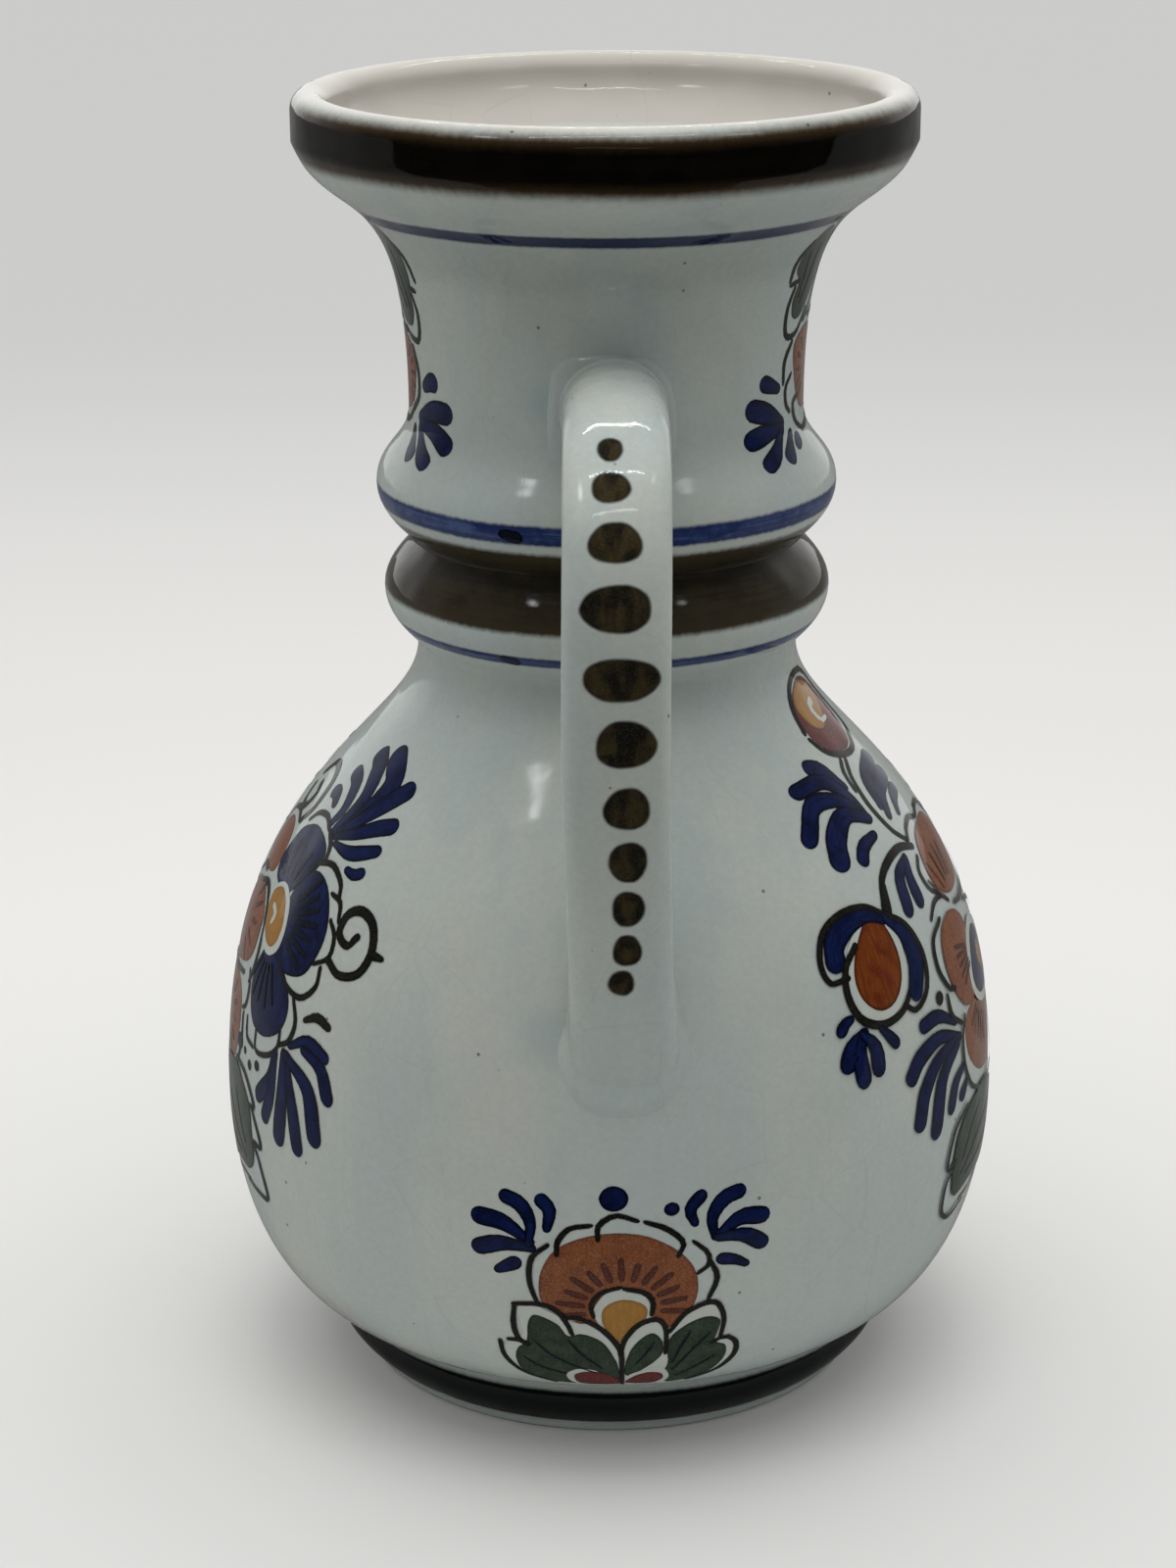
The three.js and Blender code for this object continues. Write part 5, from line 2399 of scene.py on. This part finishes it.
@dataclass(frozen=True)
class Lamp:
    """A row of flat lamps that face down, with its place from the jug's axis, in metres."""

    place: Place
    size: Point
    power: float
    count: int = 1
    pitch: float = 0.0
    lights: bool = False
    shines: bool = True

    def hang(self, name: str, shift: float) -> None:
        """Hangs one lamp of the row.

        Args:
            name: what the lamp is called.
            shift: how far it hangs from the middle of the row.
        """
        light = bpy.data.lights.new(name, "AREA")
        light.shape = "RECTANGLE"
        light.size, light.size_y = self.size
        light.energy = self.power
        lamp = bpy.data.objects.new(name, light)
        lamp.location = (self.place[0] + shift, AXIS_Y + self.place[1], self.place[2])
        lamp.visible_diffuse = self.lights
        lamp.visible_glossy = self.shines
        bpy.context.scene.collection.objects.link(lamp)


LAMPS = (
    Lamp((0.0, -0.04, 0.43), (0.28, 0.28), 0.62, lights=True, shines=False),
    Lamp((0.0, 0.140, 0.36), (0.006, 0.004), 0.0022, 11, 0.011),
    Lamp((0.0, -0.099, 0.36), (0.008, 0.0035), 0.0026, 11, 0.012),
    Lamp((0.0, -0.0547, 0.198), (0.024, 0.0012), 0.0014),
    Lamp((0.0, -0.1176, 0.2324), (0.045, 0.0026), 0.0026),
)


def only_mirrored(card: Piece) -> None:
    """Leaves a card to reflections alone."""
    card.visible_camera = card.visible_diffuse = card.visible_shadow = card.visible_transmission = False


@dataclass(frozen=True)
class Glow:
    """A card with a soft bright spot, which only reflections see, in metres from the jug's axis."""

    place: Place
    reach: Point
    strength: float

    def hang(self, name: str) -> None:
        """Hangs the card level.

        Args:
            name: what the card is called.
        """
        shape = bmesh.new()
        bmesh.ops.create_grid(shape, x_segments=1, y_segments=1, size=1.0)
        centre = Vector((self.place[0], AXIS_Y + self.place[1], self.place[2]))
        for corner in shape.verts:
            corner.co = centre + Vector((corner.co.x * self.reach[0], corner.co.y * self.reach[1], 0))
        wires = Finish(name)
        size = (1 / self.reach[0], 1 / self.reach[1], 0.0)
        spread = wires.stretch(wires.place, size, (-centre.x * size[0], -centre.y * size[1], 0.0))
        length = wires.add("VectorMath", operation="LENGTH", Vector=spread).outputs["Value"]
        wires.set(
            Base_Color=(0, 0, 0),
            Specular_IOR_Level=0.0,
            Emission_Color=wires.blend(length, (1, 1, 1), (0.9, 0.95, 1)),
            Emission_Strength=wires.step(length, 0.1, 1.0, self.strength, 0),
            Alpha=wires.step(length, 0.1, 1.0, 1, 0),
        )
        card = as_object(name, shape, wires.material)
        only_mirrored(card)


GLOWS = (
    Glow((-0.128, -0.113, 0.36), (0.040, 0.040), 8.0),
    Glow((0.128, -0.106, 0.36), (0.036, 0.034), 4.0),
)


@dataclass
class Studio:
    """The pale floor, the soft light and the camera.

    The opening of the tent is half as wide, as far in front and as high as its three numbers.
    """

    floor_size: float = 6.0
    paper: Colour = (0.72, 0.715, 0.705)
    near_glow: Colour = (0.08, 0.078, 0.074)
    far_paper_shade: Colour = (0.60, 0.60, 0.597)
    far_glow: Colour = (0.05, 0.05, 0.05)
    lens: float = 80.08
    camera_back: float = 0.5876
    camera_side: float = -0.00345
    camera_height: float = 0.3016
    pitch: float = 0.32396
    roll: float = -0.005446
    turn: float = math.radians(1.3)
    opening: Place = (0.237, -0.125, 0.25)
    front_bounce: Colour = (0.30, 0.30, 0.295)
    back_bounce: Colour = (0.95, 0.945, 0.93)
    dark_room: Colour = (0.02, 0.02, 0.02)
    backdrop: Colour = (0.62, 0.62, 0.61)

    def build(self) -> None:
        """Makes the floor, the light and the camera."""
        self._floor()
        self._opening()
        self._sky()
        self._lamps()
        self._camera()

    def _floor(self) -> None:
        """Lays a pale sheet, with painted shade that darkens it far behind the jug, and a glow that only the
        camera sees.
        """
        shape = bmesh.new()
        bmesh.ops.create_grid(shape, x_segments=8, y_segments=8, size=self.floor_size)
        wires = Finish("floor_paper")
        back = wires.axes(wires.place)[1]
        path = wires.add("LightPath").outputs
        # Painted shade: the paper darkens between 0.4 m and 1 m along Y, far behind the jug.
        fall = wires.step(back, 0.40, 1.0)
        pulp = wires.noise(wires.place, 3, 2)
        paper = wires.blend(pulp, self.paper, tuple(part * 0.985 for part in self.paper))
        paper = wires.blend(fall, paper, self.far_paper_shade)
        bounce = wires.blend(wires.step(back, -0.30, -0.10), self.front_bounce, self.back_bounce)
        paper = wires.blend(path["Is Diffuse Ray"], paper, bounce)
        front = self.opening[1]
        outside = wires.math("MAXIMUM", wires.step(back, front - 0.02, front + 0.02, 1, 0), 0.7)
        paper = wires.blend(wires.math("MULTIPLY", path["Is Glossy Ray"], outside), paper, self.dark_room)
        glow = wires.math("MULTIPLY", path["Is Camera Ray"], wires.step(back, -0.12, 0.25))
        wires.set(
            Base_Color=paper,
            Roughness=0.9,
            Specular_IOR_Level=0.1,
            Emission_Color=wires.blend(fall, self.near_glow, self.far_glow),
            Emission_Strength=glow,
        )
        floor = as_object("floor", shape, wires.material)

    def _opening(self) -> None:
        """Hangs the dark front opening of the tent, which only reflections see."""
        shape = bmesh.new()
        bmesh.ops.create_grid(shape, x_segments=1, y_segments=1, size=0.5)
        corners = list(shape.verts)
        bmesh.ops.bevel(
            shape, geom=corners, offset=0.1, affect="VERTICES", segments=6, profile=0.5, material=-1,
        )
        side, front, top = self.opening
        for corner in shape.verts:
            corner.co = Vector((corner.co.x * 2 * side, front, (corner.co.y + 0.5) * top))
        wires = Finish("dark_room")
        shade = wires.blend(wires.noise(wires.place, 6, 2), (0.01, 0.01, 0.01), (0.03, 0.03, 0.03))
        wires.set(Base_Color=shade, Specular_IOR_Level=0.0)
        opening = as_object("tent_opening", shape, wires.material)
        only_mirrored(opening)

    def _sky(self) -> None:
        """Surrounds the jug with the white walls of a light tent that is open in front."""
        world = bpy.data.worlds.new("light_tent")
        bpy.context.scene.world = world
        world.use_nodes = True
        wires = Wiring(world.node_tree)
        _, back, up = wires.axes(wires.add("TexCoord").outputs["Generated"])
        path = wires.add("LightPath").outputs
        tone = wires.blend(wires.step(back, -0.2, 0.8), (0.31, 0.312, 0.314), (0.66, 0.66, 0.66))
        tone = wires.blend(wires.step(up, 0.0, 0.8), tone, (1.12, 1.12, 1.11))
        front, low = wires.step(back, -0.3, 0.2, 1, 0), wires.step(up, 0.3, 0.62, 1, 0)
        tone = wires.blend(wires.math("MULTIPLY", front, low), tone, (0.05, 0.05, 0.051))
        mirrored = wires.blend(wires.step(back, -0.1, 0.3), (0.05, 0.05, 0.05), (0.17, 0.17, 0.172))
        mirrored = wires.blend(wires.step(back, 0.3, 0.95), mirrored, (0.95, 0.95, 0.94))
        tone = wires.blend(path["Is Glossy Ray"], tone, mirrored)
        tone = wires.blend(path["Is Camera Ray"], tone, self.backdrop)
        wires.feed(world.node_tree.nodes["Background"].inputs["Color"], tone)

    def _lamps(self) -> None:
        """Hangs the lamps under the top of the tent."""
        for number, lamp in enumerate(LAMPS):
            for index in range(lamp.count):
                shift = (index - (lamp.count - 1) / 2) * lamp.pitch
                lamp.hang(f"lamp_{number}_{index}", shift)
        for number, glow in enumerate(GLOWS):
            glow.hang(f"glow_{number}")

    def _camera(self) -> None:
        """Stands the camera where the photograph was taken from."""
        data = bpy.data.cameras.new("camera")
        data.sensor_width = 36.0
        data.lens = self.lens
        data.clip_start = 0.01
        camera = bpy.data.objects.new("camera", data)
        swing = Matrix.Translation((0, AXIS_Y, 0)) @ Matrix.Rotation(-self.turn, 4, "Z")
        stand = Matrix.Translation((self.camera_side, -self.camera_back, self.camera_height))
        tilt = Matrix.Rotation(math.pi / 2 - self.pitch, 4, "X") @ Matrix.Rotation(self.roll, 4, "Z")
        camera.matrix_world = swing @ stand @ tilt
        bpy.context.scene.collection.objects.link(camera)
        bpy.context.scene.camera = camera


def main() -> None:
    """Builds the scene piece by piece."""
    logging.basicConfig(level=logging.INFO, format="%(name)s: %(message)s")
    bpy.context.scene.view_settings.view_transform = "Standard"
    Studio().build()
    coat, brush = glaze_coat(), ring_brush()
    pools = (
        (to_frame(34, math.radians(-18), 180), 0.006),
        (to_frame(65.5, math.radians(-10.6), 82.5), 0.008),
    )
    JugBody().dress(Glaze("painted_glaze", RINGS, NECK_PAINTED_SHADES).material(coat, brush, pools))
    strap, strap_glaze = StrapHandle(), Glaze("handle_glaze")
    strap.dress(strap_glaze.material(coat, brush, pools))
    joint_glaze = Glaze("joint_glaze", pooled=0.12).material(coat, brush)
    for joint in JOINTS:
        joint.dress(joint_glaze)
    gloss = Glaze("paint_gloss", index=1.3)
    paints = [pigment.value.material(coat, gloss) for pigment in Pigment]
    wall, face = WallCanvas(PAINTING_TURN), StrapCanvas(strap)
    for name, marks in (
        ("palmette_painting", PALMETTE),
        ("left_bouquet_painting", LEFT_BOUQUET),
        ("right_bouquet_painting", RIGHT_BOUQUET),
        ("front_bouquet_painting", front_bouquet()),
        ("neck_painting", neck_flowers()),
        ("ring_overlaps", OVERLAPS),
    ):
        Painting(name, marks, wall).dress(paints)
    Painting("handle_spots", handle_spots(face), face, "handle", "glazed_strap", lift=0.04).dress(paints)


if __name__ == "__main__":
    main()
